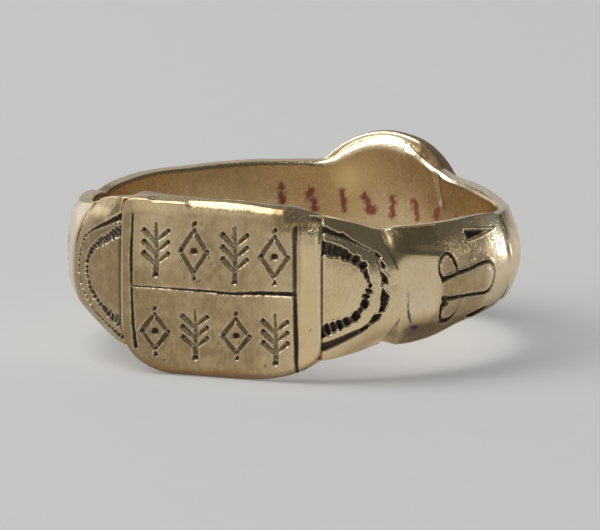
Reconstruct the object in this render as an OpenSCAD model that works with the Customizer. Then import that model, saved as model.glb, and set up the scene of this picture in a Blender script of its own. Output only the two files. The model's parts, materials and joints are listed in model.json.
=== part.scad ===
// Gold finger ring lying on its side: an upright bezel plate at the front, a grooved
// panel on each shoulder, a convex lobe beside each panel, two plain lobes behind
// and a round medallion opposite the plate. All of it is one soldered solid.
// The finger axis is Z, the plate faces -Y, and the ring rests on Z = 0.
// An angle of the ring is counted from the plate's middle, positive towards +X.

/* [Finger hole] */
// Diameter of the hole for the finger
bore_d = 19.2; // [18.4:0.1:20.2]

/* [Bezel plate] */
// Width of the plate across the finger
plate_w = 9.9; // [9.4:0.1:10.4]
// Height of the plate along the finger
plate_h = 8.35; // [8.2:0.05:8.6]
// Metal behind the middle of the plate's face
plate_wall = 0.75; // [0.7:0.05:1.1]
// How far the domed face falls back towards its upper and lower edges
plate_dome = 0.2; // [0.1:0.02:0.24]
// Radius of the worn upper edge of the face
upper_round = 0.45; // [0.3:0.05:0.55]
// Radius of the worn lower edge of the face
lower_round = 0.35; // [0.2:0.05:0.4]
// Left margin between the plate's edge and its frame line
margin_left = 0.6; // [0.4:0.05:1]
// Right margin between the plate's edge and its frame line
margin_right = 1.2; // [0.8:0.05:1.6]
// Width of the lines cut in the plate
line_w = 0.22; // [0.1:0.02:0.34]
// Depth of the lines cut in the plate
line_depth = 0.16; // [0.08:0.02:0.26]

/* [Shoulder panels] */
// Angle where the grooves start, under the plate's side
groove_start = 25; // [24:0.5:27]
// Width of the outer groove
outer_groove_w = 0.28; // [0.16:0.02:0.4]
// Width of the inner groove
inner_groove_w = 0.5; // [0.3:0.02:0.6]
// Depth of both grooves
groove_depth = 0.28; // [0.14:0.02:0.36]

/* [Side lobes] */
// Width of the line of the scroll
scroll_w = 0.17; // [0.1:0.01:0.24]
// Depth of the line of the scroll
scroll_depth = 0.14; // [0.06:0.01:0.22]
// Width of each wedge cut at its broad end
wedge_w = 0.46; // [0.2:0.02:0.5]

/* [Medallion] */
// Diameter of the medallion, the tallest part of the ring
medal_d = 8.75; // [8.7:0.05:9.2]
// Metal behind the middle of the medallion
medal_wall = 1.2; // [1:0.05:1.5]
// Angle of the medallion's middle
medal_angle = 173.1; // [170:0.1:180]
// Bevel round the medallion's outer face
medal_bevel = 0.35; // [0.15:0.05:0.5]

/* [Hidden] */

bore_r = bore_d / 2;
mid_z = medal_d / 2;
gold = [0.8, 0.69, 0.46];

// The hoop's cross-section at each angle. Columns: angle, edge height above the middle,
// edge depth below it, wall at the two edges, extra wall at the crown, power of the crown.
ANGLE = 0;
ABOVE = 1;
BELOW = 2;
WALL = 3;
CROWN = 4;
POWER = 5;
FRONT_RIGHT = [
    [  0, 3.80, 3.80, 0.30, 0.10, 4.0],
    [ 26, 3.45, 3.30, 1.30, 0.45, 4.0],
    [ 34, 3.10, 3.05, 1.05, 0.80, 3.5],
    [ 43, 2.60, 2.65, 0.75, 1.15, 3.0],
    [ 47, 2.70, 2.80, 0.75, 1.03, 2.8],
    [ 56, 2.72, 2.68, 0.75, 0.72, 2.4],
    [ 68, 2.70, 2.25, 0.62, 0.62, 2.2],
    [ 78, 2.64, 2.06, 0.60, 0.62, 2.2],
    [ 86, 2.52, 1.92, 0.60, 0.62, 2.2],
    [ 90, 2.38, 1.82, 0.55, 0.50, 2.2]];
FRONT_LEFT = [
    [  0, 3.80, 3.80, 0.30, 0.10, 4.0],
    [ 26, 3.85, 3.20, 1.30, 0.45, 4.0],
    [ 34, 3.65, 2.93, 1.05, 0.80, 3.5],
    [ 43, 3.25, 2.55, 0.75, 1.15, 3.0],
    [ 47, 3.02, 2.38, 0.75, 1.03, 2.8],
    [ 56, 2.80, 2.12, 0.75, 0.70, 2.4],
    [ 68, 2.62, 1.92, 0.60, 0.54, 2.1],
    [ 78, 2.60, 1.90, 0.60, 0.53, 2.1],
    [ 86, 2.50, 1.84, 0.60, 0.56, 2.1],
    [ 90, 2.38, 1.78, 0.55, 0.48, 2.1]];
BACK_RIGHT = [
    [ 94, 2.36, 1.86, 0.55, 0.57, 1.9],
    [102, 2.26, 1.90, 0.55, 0.59, 1.8],
    [112, 2.12, 1.92, 0.55, 0.58, 1.8],
    [122, 2.12, 1.98, 0.55, 0.52, 2.1],
    [132, 2.26, 2.08, 0.58, 0.45, 2.2],
    [143, 2.44, 2.30, 0.62, 0.33, 2.4],
    [150, 2.55, 2.55, 0.66, 0.22, 2.8],
    [155, 2.82, 2.85, 0.68, 0.17, 3.0],
    [180, 3.30, 3.30, 0.70, 0.15, 3.0]];
BACK_LEFT = [
    [ 94, 2.45, 2.10, 0.55, 0.58, 2.1],
    [110, 2.70, 2.40, 0.60, 0.55, 2.2],
    [130, 2.74, 2.70, 0.60, 0.50, 2.2],
    [150, 2.84, 2.80, 0.65, 0.30, 2.4],
    [162, 2.83, 2.80, 0.68, 0.20, 2.8],
    [180, 3.30, 3.30, 0.70, 0.15, 3.0]];
RIGHT_HALF = concat(FRONT_RIGHT, BACK_RIGHT);
LEFT_HALF = concat(FRONT_LEFT, BACK_LEFT);

// Inner edges of the hoop are worn to a slope this wide
worn_edge = 0.22;
// How far the hoop's blank reaches inside the bore before the bore is cut
blank_inset = 0.4;
// Steps round the hoop and across its crown
hoop_steps = 120;
crown_steps = 12;

// Smooth value of one column at an angle, from 0 to 180 degrees
function slope_at(rows, i, col) =
    let (before = max(i - 1, 0), after = min(i + 1, len(rows) - 1))
    (rows[after][col] - rows[before][col]) / (rows[after][ANGLE] - rows[before][ANGLE]);
function row_below(rows, a, i = 0) =
    i >= len(rows) - 2 || rows[i + 1][ANGLE] > a ? i : row_below(rows, a, i + 1);
function smooth(rows, a, col) =
    let (
        i = row_below(rows, a),
        span = rows[i + 1][ANGLE] - rows[i][ANGLE],
        u = (a - rows[i][ANGLE]) / span,
        ease = u * u * (3 - 2 * u)
    )
    rows[i][col] * (1 - ease) + rows[i + 1][col] * ease
    + span * u * (1 - u) * ((1 - u) * slope_at(rows, i, col) - u * slope_at(rows, i + 1, col));
function shape(a, col) = a < 0 ? smooth(LEFT_HALF, -a, col) : smooth(RIGHT_HALF, a, col);

// Radius of the hoop's outer surface, s running from -1 at the lower edge to 1 at the upper
function crown_r(a, s) =
    bore_r + shape(a, WALL) + shape(a, CROWN) * (1 - pow(min(abs(s), 1), shape(a, POWER)));
function crown_z(a, s) =
    mid_z + (s < 0 ? s * shape(a, BELOW) : s * shape(a, ABOVE));
function skin_r(a, z) =
    let (h = z - mid_z) crown_r(a, h < 0 ? h / shape(a, BELOW) : h / shape(a, ABOVE));
function place(a, r, z) = [r * sin(a), -r * cos(a), z];

// One closed cross-section of the hoop, from its inner lower corner to its inner upper one
function section(a) =
    let (
        low = crown_z(a, -1),
        high = crown_z(a, 1),
        slope_run = worn_edge + blank_inset
    )
    concat(
        [place(a, bore_r - blank_inset, low + slope_run), place(a, bore_r + worn_edge, low)],
        [for (i = [0:crown_steps]) let (s = 2 * i / crown_steps - 1)
            place(a, crown_r(a, s), crown_z(a, s))],
        [place(a, bore_r + worn_edge, high), place(a, bore_r - blank_inset, high - slope_run)]);

// Faces between sections of n points each, the last joined to the first if closed
function skin_faces(count, n, closed) = [
    for (i = [0:count - (closed ? 1 : 2)], k = [0:n - 1])
        let (
            a = i * n, b = (i + 1) % count * n,
            p = k, q = (k + 1) % n
        )
        each [[a + p, b + q, b + p], [a + p, a + q, b + q]]];

module hoop_blank() {
    points = [for (i = [0:hoop_steps - 1]) each section(i * 360 / hoop_steps - 180)];
    polyhedron(points, skin_faces(hoop_steps, crown_steps + 5, true), convexity = 6);
}

// A groove that follows the hoop's surface along a route of [angle, height, width] points.
// Its sides lean out, and its floor keeps the same depth below the surface.
groove_rise = 0.3;
mouth_share = 0.62;
floor_share = 0.36;
GROOVE_CORNERS = [
    [-mouth_share, true], [mouth_share, true], [floor_share, false], [-floor_share, false]];
function groove_corners(route, i, depth, closed) =
    let (
        n = len(route),
        before = route[closed ? (i + n - 1) % n : max(i - 1, 0)],
        after = route[closed ? (i + 1) % n : min(i + 1, n - 1)],
        here = route[i],
        r = skin_r(here[0], here[1]),
        along = (after[0] - before[0]) * r * PI / 180,
        rise = after[1] - before[1],
        run = norm([along, rise])
    )
    [for (corner = GROOVE_CORNERS)
        let (
            aside = corner[0] * here[2] / run,
            a = here[0] - aside * rise * 180 / (PI * r),
            z = here[1] + aside * along
        )
        place(a, skin_r(a, z) + (corner[1] ? groove_rise : -depth), z)];
module groove(route, depth, closed = false) {
    points = [for (i = [0:len(route) - 1]) each groove_corners(route, i, depth, closed)];
    last = 4 * (len(route) - 1);
    caps = [[0, 2, 1], [0, 3, 2], [last, last + 1, last + 2], [last, last + 2, last + 3]];
    polyhedron(points, concat(skin_faces(len(route), 4, closed), closed ? [] : caps), convexity = 6);
}

// The two U-shaped grooves of a shoulder panel, half ellipses open towards the plate
outer_apex = 42;
outer_half_h = 2.9;
inner_apex = 37.4;
inner_half_h = 2.05;
panel_centre = 0.08;
function u_route(apex, half_h, w) =
    [for (t = [-90:6:90])
        [groove_start + (apex - groove_start) * cos(t), mid_z + panel_centre + half_h * sin(t), w]];
module panel_grooves() {
    groove(u_route(outer_apex, outer_half_h, outer_groove_w), groove_depth);
    groove(u_route(inner_apex, inner_half_h, inner_groove_w), groove_depth);
}

// The scroll of a side lobe: two leaves joined by a line that bends round behind them,
// with a wedge cut above and another below. Heights are counted from the ring's middle.
bend_angle = 76.4;
bend_reach = 3.9;
bend_z = -0.28;
bend_half_h = 0.8;
// Columns of a leaf: angle and height of its middle, half its length in degrees, half its height
upper_leaf = [60.3, 0.78, 3.5, 0.64];
lower_leaf = [61.6, -1.4, 3.9, 0.56];
leaf_lean = 0.75;
// A wedge runs from its broad end to its point, each an angle and a height
upper_wedge = [[69.2, 1.95], [83.5, 1.8]];
lower_wedge = [[71.5, -1.92], [82.5, -1.7]];
wedge_point = 0.04;
module leaf(spec) {
    groove(
        [for (t = [0:20:340]) [
            spec[0] + spec[2] * cos(t) - leaf_lean * sin(t),
            mid_z + spec[1] + spec[3] * sin(t),
            scroll_w]],
        scroll_depth, closed = true);
}
module wedge(ends, w, depth) {
    groove(
        [[ends[0][0], mid_z + ends[0][1], w], [ends[1][0], mid_z + ends[1][1], wedge_point]],
        depth);
}
module scroll() {
    leaf(upper_leaf);
    leaf(lower_leaf);
    bend = [for (t = [90:-15:-90])
        [bend_angle + bend_reach * cos(t), mid_z + bend_z + bend_half_h * sin(t), scroll_w]];
    groove(
        concat(
            [[upper_leaf[0] + upper_leaf[2], mid_z + 0.36, scroll_w]],
            bend,
            [[lower_leaf[0] - 0.7 * lower_leaf[2], mid_z - 0.8, scroll_w]]),
        scroll_depth);
    wedge(upper_wedge, wedge_w, scroll_depth * 1.4);
    wedge(lower_wedge, wedge_w * 0.6, scroll_depth);
}

// The children, and their mirror image on the ring's other side
module mirrored_pair() {
    children();
    mirror([1, 0, 0]) children();
}

module hoop() {
    difference() {
        hoop_blank();
        mirrored_pair() {
            panel_grooves();
            scroll();
        }
    }
}

// Outline of the plate seen from the front: bowed sides, a nearly square upper left corner,
// an upper right corner that is worn down, round lower corners and a flat foot
side_bow = 0.06;
upper_left_corner = [0.7, 0.6];
lower_left_corner = [2.6, 1.85];
lower_right_corner = [3.9, 1.7];
// Columns of the worn corner: distance in from the plate's side, drop below its top
WORN_CORNER = [
    [0.00, 1.00], [0.20, 0.60], [0.60, 0.50], [1.00, 0.37], [1.40, 0.25],
    [1.90, 0.18], [2.80, 0.12], [3.70, 0.04], [4.70, 0.00]];
corner_steps = 8;
function quarter(cx, cz, radii, start) =
    [for (i = [0:corner_steps]) let (t = start + 90 * i / corner_steps)
        [cx + radii[0] * cos(t), cz + radii[1] * sin(t)]];
function plate_outline() =
    let (half = plate_w / 2 - side_bow)
    concat(
        quarter(half - lower_right_corner[0], lower_right_corner[1], lower_right_corner, -90),
        [[plate_w / 2, plate_h * 0.48]],
        [for (row = WORN_CORNER) [half - row[0], plate_h - row[1]]],
        quarter(upper_left_corner[0] - half, plate_h - upper_left_corner[1], upper_left_corner, 90),
        [[-plate_w / 2, plate_h * 0.52]],
        quarter(lower_left_corner[0] - half, lower_left_corner[1], lower_left_corner, 180));

plate_front = bore_r + plate_wall;
plate_rear = plate_front - 1.75;
dome_r = (pow(plate_h / 2, 2) + pow(plate_dome, 2)) / (2 * plate_dome);
function face_y(z) = dome_r - plate_front - sqrt(pow(dome_r, 2) - pow(z - plate_h / 2, 2));

// Section of the plate across its height, open in front where the dome closes it
round_steps = 6;
function worn_corner(y, z, r, start) =
    [for (i = [0:round_steps]) let (t = start - 90 * i / round_steps) [y + r * cos(t), z + r * sin(t)]];
function plate_section() =
    let (low = lower_round, high = plate_h - upper_round)
    concat(
        [[-plate_rear, 0]],
        worn_corner(face_y(low) + lower_round, low, lower_round, 270),
        [[-plate_front - 0.1, low], [-plate_front - 0.1, high]],
        worn_corner(face_y(high) + upper_round, high, upper_round, 180),
        [[-plate_rear, plate_h]]);

// Turned cutter about the axis of the plate's dome, at a place along X
module dome_turn(x) {
    translate([x, dome_r - plate_front, plate_h / 2]) rotate([0, 90, 0]) children();
}
module upright_line(x, low, high) {
    from = asin((low - plate_h / 2) / dome_r);
    to = asin((high - plate_h / 2) / dome_r);
    dome_turn(x) rotate_extrude(start = 270 - to, angle = to - from, $fn = 360)
        polygon([[dome_r + 0.1, -line_w * 0.7], [dome_r - line_depth, 0], [dome_r + 0.1, line_w * 0.7]]);
}
// The left line stops above the plate's round corner, the right one runs out at its foot
left_line_foot = 0.19;
line_top = 0.89;
module plate_lines() {
    left = margin_left - plate_w / 2;
    right = plate_w / 2 - margin_right;
    upright_line(left, left_line_foot * plate_h, line_top * plate_h);
    upright_line(right, -0.2, line_top * plate_h);
    translate([left, -plate_front, plate_h / 2])
        rotate([90, 0, 90])
            linear_extrude(right - left)
                polygon([[-0.1, -line_w * 0.7], [line_depth, 0], [-0.1, line_w * 0.7]]);
}

module bezel_plate() {
    difference() {
        intersection() {
            translate([0, -plate_rear, 0]) rotate([90, 0, 0])
                linear_extrude(plate_front - plate_rear + 0.1) polygon(plate_outline());
            translate([-plate_w, 0, 0]) rotate([90, 0, 90])
                linear_extrude(2 * plate_w) polygon(plate_section());
            dome_turn(-plate_w) cylinder(r = dome_r, h = 2 * plate_w, $fn = 360);
        }
        plate_lines();
    }
}

// Round medallion: a disc whose flat axis points out along its angle
medal_rise = 0.1;
medal_root = 2.3;
module medallion() {
    top = bore_r + medal_wall;
    translate([0, 0, mid_z]) rotate([0, 0, medal_angle]) rotate([90, 0, 0])
        rotate_extrude($fn = 120)
            polygon([
                [0, top - medal_root],
                [medal_d / 2, top - medal_root],
                [medal_d / 2, top - medal_rise - medal_bevel],
                [medal_d / 2 - medal_bevel, top - medal_rise],
                [0, top]]);
}

module ring() {
    color(gold)
    difference() {
        union() {
            hoop();
            bezel_plate();
            medallion();
        }
        translate([0, 0, -1]) cylinder(r = bore_r, h = medal_d + 2, $fn = 240);
    }
}

ring();
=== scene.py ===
"""Dressed model of an engraved gold finger ring, lying on its side on a pale studio floor.

Everything is worked out in millimetres about the finger axis Z and turned to metres when a mesh is
made. An angle of the ring is counted in degrees from the middle of the bezel plate, positive towards
+X. A level is a height above the ring's middle plane.
"""

import json
import logging
import math
from dataclasses import dataclass, field
from enum import Enum
from typing import Optional, Sequence, Union

import bpy
import numpy as np
from mathutils import Matrix, Vector


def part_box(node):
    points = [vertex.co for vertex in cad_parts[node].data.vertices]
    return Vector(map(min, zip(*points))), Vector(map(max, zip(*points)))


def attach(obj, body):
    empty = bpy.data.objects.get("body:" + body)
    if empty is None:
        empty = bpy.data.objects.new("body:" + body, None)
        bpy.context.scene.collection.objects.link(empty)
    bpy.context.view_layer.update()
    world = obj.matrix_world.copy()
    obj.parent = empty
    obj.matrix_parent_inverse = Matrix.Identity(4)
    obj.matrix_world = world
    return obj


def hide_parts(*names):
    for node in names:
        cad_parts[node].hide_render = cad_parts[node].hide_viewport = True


MM = 0.001
HALF_TURN = 180.0
FULL_TURN = 360.0
LOG = logging.getLogger("ring")
Colour = tuple[float, float, float]
Path = Sequence[Sequence[float]]
Socket = bpy.types.NodeSocket
Widths = Union[float, Sequence[float]]

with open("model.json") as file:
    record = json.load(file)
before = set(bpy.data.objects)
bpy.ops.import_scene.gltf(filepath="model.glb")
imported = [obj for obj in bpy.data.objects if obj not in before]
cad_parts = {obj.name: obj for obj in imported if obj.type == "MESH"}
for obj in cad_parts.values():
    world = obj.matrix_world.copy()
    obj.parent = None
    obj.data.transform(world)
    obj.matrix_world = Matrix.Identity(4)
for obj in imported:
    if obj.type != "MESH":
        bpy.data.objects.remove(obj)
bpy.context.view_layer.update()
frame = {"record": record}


class Side(Enum):
    """Which shoulder of the ring, by the sign of its angles."""

    RIGHT = 1
    LEFT = -1


class Mark(Enum):
    """What a mesh point carries for its finish, each from 0 to 1: dirt, stains and paint that the ring has,
    and painted shade, highlights and a caustic.
    """

    # Dirt in the cuts, and painted shade in creases, at the pinch and along lower edges.
    RESIDUE_AND_SHADE = "residue_and_shade"
    # Polish, and whiter gold painted as highlights.
    POLISH_AND_HIGHLIGHT = "bright"
    # Tarnish, and painted shade and darker reflections; it also roughens the metal.
    TARNISH_AND_SHADE = "tarnish_and_shade"
    # Painted warm shade: the brownish reflection of the ring's shadow in its lower edges.
    WARM_SHADE = "warm"
    # Painted shade: inner surfaces take a darker, warmer copy of the gold.
    INSIDE = "inside"
    INK = "ink"
    PAINT = "paint"
    # A painted caustic: a patch of reflected light on the lining.
    PAINTED_CAUSTIC = "caustic_light"


def unit(value: np.ndarray) -> np.ndarray:
    """Values held between 0 and 1."""
    return np.clip(value, 0.0, 1.0)


def eased(low: float, high: float, value: np.ndarray) -> np.ndarray:
    """Rise of a value from 0 at low to 1 at high, with soft ends.

    Args:
        low: Value where the rise starts.
        high: Value where the rise ends.
        value: Values to place on the rise.

    Returns:
        Numbers from 0 to 1, as many as the values.
    """
    share = unit((np.asarray(value, float) - low) / (high - low))
    return share * share * (3.0 - 2.0 * share)


def bell(value: np.ndarray, middle: float, half: float) -> np.ndarray:
    """Soft bump that is 1 at the middle and dies away within about twice the half width."""
    return np.exp(-(((value - middle) / half) ** 2))


def rounded(share: np.ndarray) -> np.ndarray:
    """Fall of a quarter round, from 0 where it starts to 1 at its end."""
    return 1.0 - np.sqrt(1.0 - share**2)


def signed(angle: Union[float, np.ndarray]) -> np.ndarray:
    """Angles brought between -180 and 180 degrees."""
    return (np.asarray(angle, float) + HALF_TURN) % FULL_TURN - HALF_TURN


def tube_quads(rings: int, points: int) -> list[list[int]]:
    """Quads between rings that follow one another and each close on themselves.

    Args:
        rings: Number of rings.
        points: Number of points in each ring.

    Returns:
        Point numbers of each quad.
    """
    i, k = np.meshgrid(np.arange(rings - 1), np.arange(points), indexing="ij")
    near, far, after = i * points, (i + 1) * points, (k + 1) % points
    return np.stack([near + k, far + k, far + after, near + after], axis=-1).reshape(-1, 4).tolist()


@dataclass(frozen=True)
class Hammering:
    """Soft unevenness that hand tools and wear leave in metal."""

    seed: int
    pitch: float
    knocks: int = 8192
    strides: tuple[int, int, int] = (1, 137, 1931)

    def at(self, places: np.ndarray) -> np.ndarray:
        """Height of the unevenness at some places.

        Args:
            places: Points in millimetres, whose last axis holds two or three coordinates.

        Returns:
            One number from -1 to 1 for each place, laid out as the places.
        """
        table = np.random.default_rng(self.seed).uniform(-1.0, 1.0, self.knocks)
        axes = places.shape[-1]
        cell = places.reshape(-1, axes) / self.pitch
        base = np.floor(cell).astype(np.int64)
        part = cell - base
        ease = part * part * (3.0 - 2.0 * part)
        stride = np.array(self.strides)[:axes]
        total = np.zeros(len(cell))
        for corner in range(2**axes):
            step = np.array([corner >> axis & 1 for axis in range(axes)])
            weight = np.prod(np.where(step == 1, ease, 1.0 - ease), axis=1)
            total += weight * table[((base + step) @ stride) % len(table)]
        return total.reshape(places.shape[:-1])


@dataclass(frozen=True)
class Cut:
    """How a graver or punch goes into the metal.

    Depth and lip are in millimetres. Floor is the flat share of the cut's width, waver how far its
    edges wander, rough how uneven its floor is, and taper how much shallower it is where it narrows.
    """

    depth: float
    floor: float = 0.0
    lip: float = 0.0
    dirt: float = 0.8
    waver: float = 0.1
    rough: float = 0.15
    taper: float = 0.7


@dataclass
class Relief:
    """Cuts, raised lips and stains on a surface that is laid out flat, in millimetres."""

    flat: np.ndarray
    seed: int
    margin: float = 0.15
    lip_away: float = 0.035
    lip_half: float = 0.03
    skin: float = 0.004
    grain_pitch: tuple[float, float] = (0.16, 0.07)
    depth: np.ndarray = field(init=False)
    lip: np.ndarray = field(init=False)
    residue_and_shade: np.ndarray = field(init=False)
    bright: np.ndarray = field(init=False)
    stain: np.ndarray = field(init=False)
    grain: np.ndarray = field(init=False)

    def __post_init__(self) -> None:
        """Starts with an uncut surface."""
        blank = np.zeros(len(self.flat))
        self.depth, self.lip, self.residue_and_shade = blank.copy(), blank.copy(), blank.copy()
        self.bright, self.stain = blank.copy(), blank.copy()
        coarse = Hammering(self.seed, self.grain_pitch[0]).at(self.flat)
        fine = Hammering(self.seed + 1, self.grain_pitch[1]).at(self.flat)
        self.grain = 0.6 * coarse + 0.4 * fine

    def _near(self, path: np.ndarray, reach: float) -> np.ndarray:
        """Numbers of the points that lie within reach of a path's box."""
        low, high = path.min(axis=0) - reach, path.max(axis=0) + reach
        return np.flatnonzero(np.all((self.flat > low) & (self.flat < high), axis=1))

    @staticmethod
    def _measure(places: np.ndarray, path: np.ndarray, widths: np.ndarray) -> tuple[np.ndarray, np.ndarray]:
        """Distance of each place from a path as a share of its half width, and that width.

        Args:
            places: Points of the flat surface.
            path: Points of the line's middle.
            widths: Width of the line at each of its points.

        Returns:
            Share and width, one of each for every place.
        """
        share = np.full(len(places), np.inf)
        width = np.full(len(places), widths[0])
        for a, b, wa, wb in zip(path[:-1], path[1:], widths[:-1], widths[1:]):
            run = b - a
            t = np.clip((places - a) @ run / max(float(run @ run), 1e-9), 0.0, 1.0)
            away = np.hypot(*(places - a - t[:, None] * run).T)
            here = wa + (wb - wa) * t
            closer = away / (0.5 * here) < share
            share = np.where(closer, away / (0.5 * here), share)
            width = np.where(closer, here, width)
        return share, width

    @staticmethod
    def _spread(path: Path, widths: Widths) -> tuple[np.ndarray, np.ndarray]:
        """Points of a path, with one width for each."""
        line = np.asarray(path, float)
        return line, np.broadcast_to(np.asarray(widths, float), (len(line),)).astype(float)

    def stroke(self, path: Path, widths: Widths, cut: Cut) -> None:
        """Cuts one line or pit along a path.

        Args:
            path: Points of the line's middle on the flat surface.
            widths: Width of the line, or one width for each point.
            cut: How deep and how dirty the line is.
        """
        line, wide = self._spread(path, widths)
        near = self._near(line, wide.max() + self.margin)
        if not len(near):
            return
        share, width = self._measure(self.flat[near], line, wide)
        share = share * (1.0 + cut.waver * self.grain[near])
        profile = unit((1.0 - share) / (1.0 - cut.floor))
        full = cut.depth * (width / wide.max()) ** cut.taper
        self._sink(near, full * profile, (share - 1.0) * 0.5 * width, profile, cut)

    def pit(self, corners: Path, slope: float, cut: Cut) -> None:
        """Cuts a pit with straight sides.

        Args:
            corners: Corners of the pit in order, with none of them pointing inwards.
            slope: Run of the pit's sides from its mouth to its floor.
            cut: How deep and how dirty the pit is.
        """
        ring = np.asarray(corners, float)
        near = self._near(ring, self.margin)
        if not len(near):
            return
        after = np.roll(ring, -1, axis=0)
        turning = float(np.sum(ring[:, 0] * after[:, 1] - after[:, 0] * ring[:, 1]))
        way = math.copysign(1.0, turning)
        inside = np.full(len(near), np.inf)
        for a, b in zip(ring, after):
            run = (b - a) / max(float(np.hypot(*(b - a))), 1e-6)
            off = self.flat[near] - a
            inside = np.minimum(inside, way * (run[0] * off[:, 1] - run[1] * off[:, 0]))
        inside = inside - 0.25 * cut.waver * (self.grain[near] + 0.2)
        profile = unit(inside / slope)
        self._sink(near, cut.depth * profile, -inside, profile, cut)

    def _sink(
        self, near: np.ndarray, depth: np.ndarray, edge: np.ndarray, profile: np.ndarray, cut: Cut
    ) -> None:
        """Adds a cut's depth, its raised lip just outside the edge and the dirt that it holds.

        Args:
            near: Numbers of the points that the cut may reach.
            depth: Depth of the cut at each of them.
            edge: Distance of each of them outside the cut's edge.
            profile: Share of the full depth at each of them.
            cut: How deep and how dirty the cut is.
        """
        grain = self.grain[near]
        lip = bell(edge, self.lip_away, self.lip_half) * unit(0.55 + 0.9 * grain)
        self.depth[near] = np.maximum(self.depth[near], depth * (1.0 + 2.0 * cut.rough * grain))
        self.lip[near] = np.maximum(self.lip[near], lip * cut.lip)
        self.residue_and_shade[near] = np.maximum(self.residue_and_shade[near], cut.dirt * eased(0.1, 0.5, profile))
        # Raised lips are polished and also painted whiter as highlights.
        if cut.lip > 0.0:
            self.bright[near] = np.maximum(self.bright[near], lip * min(1.0, cut.lip / self.lip_half))

    def smear(self, path: Path, widths: Widths, strength: float) -> None:
        """Lays a stain along a path, broken up by the grain.

        Args:
            path: Points of the stain's middle on the flat surface.
            widths: Width of the stain, or one width for each point.
            strength: How strong the stain is at its middle, from 0 to 1.
        """
        line, wide = self._spread(path, widths)
        near = self._near(line, wide.max())
        share, _ = self._measure(self.flat[near], line, wide)
        cover = eased(1.25, 0.35, share + 0.9 * self.grain[near])
        self.stain[near] = np.maximum(self.stain[near], strength * cover)

    def rise(self) -> np.ndarray:
        """Height of the finished surface over the uncut one, negative in the cuts."""
        return np.where(self.depth > self.skin, -self.depth, self.lip)


@dataclass(frozen=True)
class SectionTable:
    """Cross-sections of one half of the hoop.

    Columns: angle, edge height above the middle, edge depth below it, wall at the two edges,
    extra wall at the crown, power of the crown.
    """

    rows: tuple[tuple[float, ...], ...]

    def at(self, angle: np.ndarray) -> np.ndarray:
        """Smooth values of the five columns after the angle.

        Args:
            angle: Angles from 0 to 180.

        Returns:
            One row of five values for each angle.
        """
        rows = np.array(self.rows)
        knots, values = rows[:, 0], rows[:, 1:]
        count = len(rows)
        before = np.maximum(np.arange(count) - 1, 0)
        after = np.minimum(np.arange(count) + 1, count - 1)
        slopes = (values[after] - values[before]) / (knots[after] - knots[before])[:, None]
        i = np.clip(np.searchsorted(knots, angle, side="right") - 1, 0, count - 2)
        span = (knots[i + 1] - knots[i])[:, None]
        u = (angle - knots[i])[:, None] / span
        ease = u * u * (3.0 - 2.0 * u)
        bend = span * u * (1.0 - u) * ((1.0 - u) * slopes[i] - u * slopes[i + 1])
        return values[i] * (1.0 - ease) + values[i + 1] * ease + bend


@dataclass(frozen=True)
class HoopForm:
    """Shape of the hoop that all its pieces share.

    Lip and groove are those at the pinch. The bevel is where the upper rim slopes down beside the
    medallion. The crown is fuller about one angle of the left shoulder. Wear counts as outside from
    the wall's skin on.
    """

    bore_r: float
    mid_z: float
    right: SectionTable
    left: SectionTable
    pinch_angle: float = 90.2
    lip_rise: float = 0.1
    lip_run: float = 1.7
    lip_back: float = 0.55
    groove_depth: float = 0.2
    groove_run: float = 1.6
    rim_fall: float = 0.07
    bevel_fall: float = 0.43
    bevel_start: tuple[float, float] = (162.5, 167.0)
    bevel_end: tuple[float, float] = (192.0, 184.0)
    full_at: float = -71.0
    full_half: float = 9.0
    full_more: float = 1.7
    wall_skin: float = 0.15
    wall_ease: float = 0.5

    @staticmethod
    def place(angle: np.ndarray, r: np.ndarray, z: np.ndarray) -> np.ndarray:
        """Points at angles, radii and heights."""
        turn = np.radians(angle)
        return np.stack([r * np.sin(turn), -r * np.cos(turn), z], axis=-1)

    def section(self, angle: np.ndarray) -> np.ndarray:
        """Above, below, wall, crown and power at signed angles.

        Args:
            angle: Angles in degrees.

        Returns:
            One row of five values for each angle.
        """
        turn = signed(angle)
        right, left = self.right.at(np.abs(turn)), self.left.at(np.abs(turn))
        return np.where(turn[:, None] >= 0.0, right, left)

    def fall(self, angle: np.ndarray) -> np.ndarray:
        """How far the rim slopes down towards the finger hole, most where it is bevelled at the medallion.

        Args:
            angle: Angles in degrees.

        Returns:
            One fall for each angle.
        """
        turn = np.asarray(angle, float) % FULL_TURN
        bevelled = eased(*self.bevel_start, turn) * eased(*self.bevel_end, turn)
        return self.rim_fall + self.bevel_fall * bevelled

    def pinch(self, angle: np.ndarray) -> np.ndarray:
        """Extra height of the crown where a front lobe ends in a raised edge beside a narrow groove.

        Args:
            angle: Angles in degrees.

        Returns:
            One height for each angle.
        """
        past = np.abs(signed(angle)) - self.pinch_angle
        rise = self.lip_rise * bell(np.minimum(past + self.lip_back, 0.0), 0.0, self.lip_run)
        lip = rise * eased(-0.05, -self.lip_back, past)
        dip = np.where(past < 0.0, eased(-self.lip_back, 0.0, past), bell(past, 0.0, self.groove_run))
        return lip - self.groove_depth * dip

    def outward(self, r: np.ndarray) -> np.ndarray:
        """Share from 0 at the finger hole to 1 at the skin, for wear that stays outside."""
        return unit((r - self.bore_r - self.wall_skin) / self.wall_ease)

    def skin_r(self, angle: np.ndarray, level: np.ndarray) -> np.ndarray:
        """Radius of the outer surface at angles and levels.

        Args:
            angle: Signed angles.
            level: Heights above the middle plane.

        Returns:
            Radii in millimetres.
        """
        above, below, wall, crown, power = self.section(angle).T
        fuller = 1.0 + self.full_more * bell(signed(angle), self.full_at, self.full_half)
        power = np.where(level >= 0.0, power * fuller, power)
        share = unit(np.abs(np.where(level >= 0.0, level / above, level / below)))
        return self.bore_r + wall + crown * (1.0 - share**power) + self.pinch(angle) * (1.0 - share**3)


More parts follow.
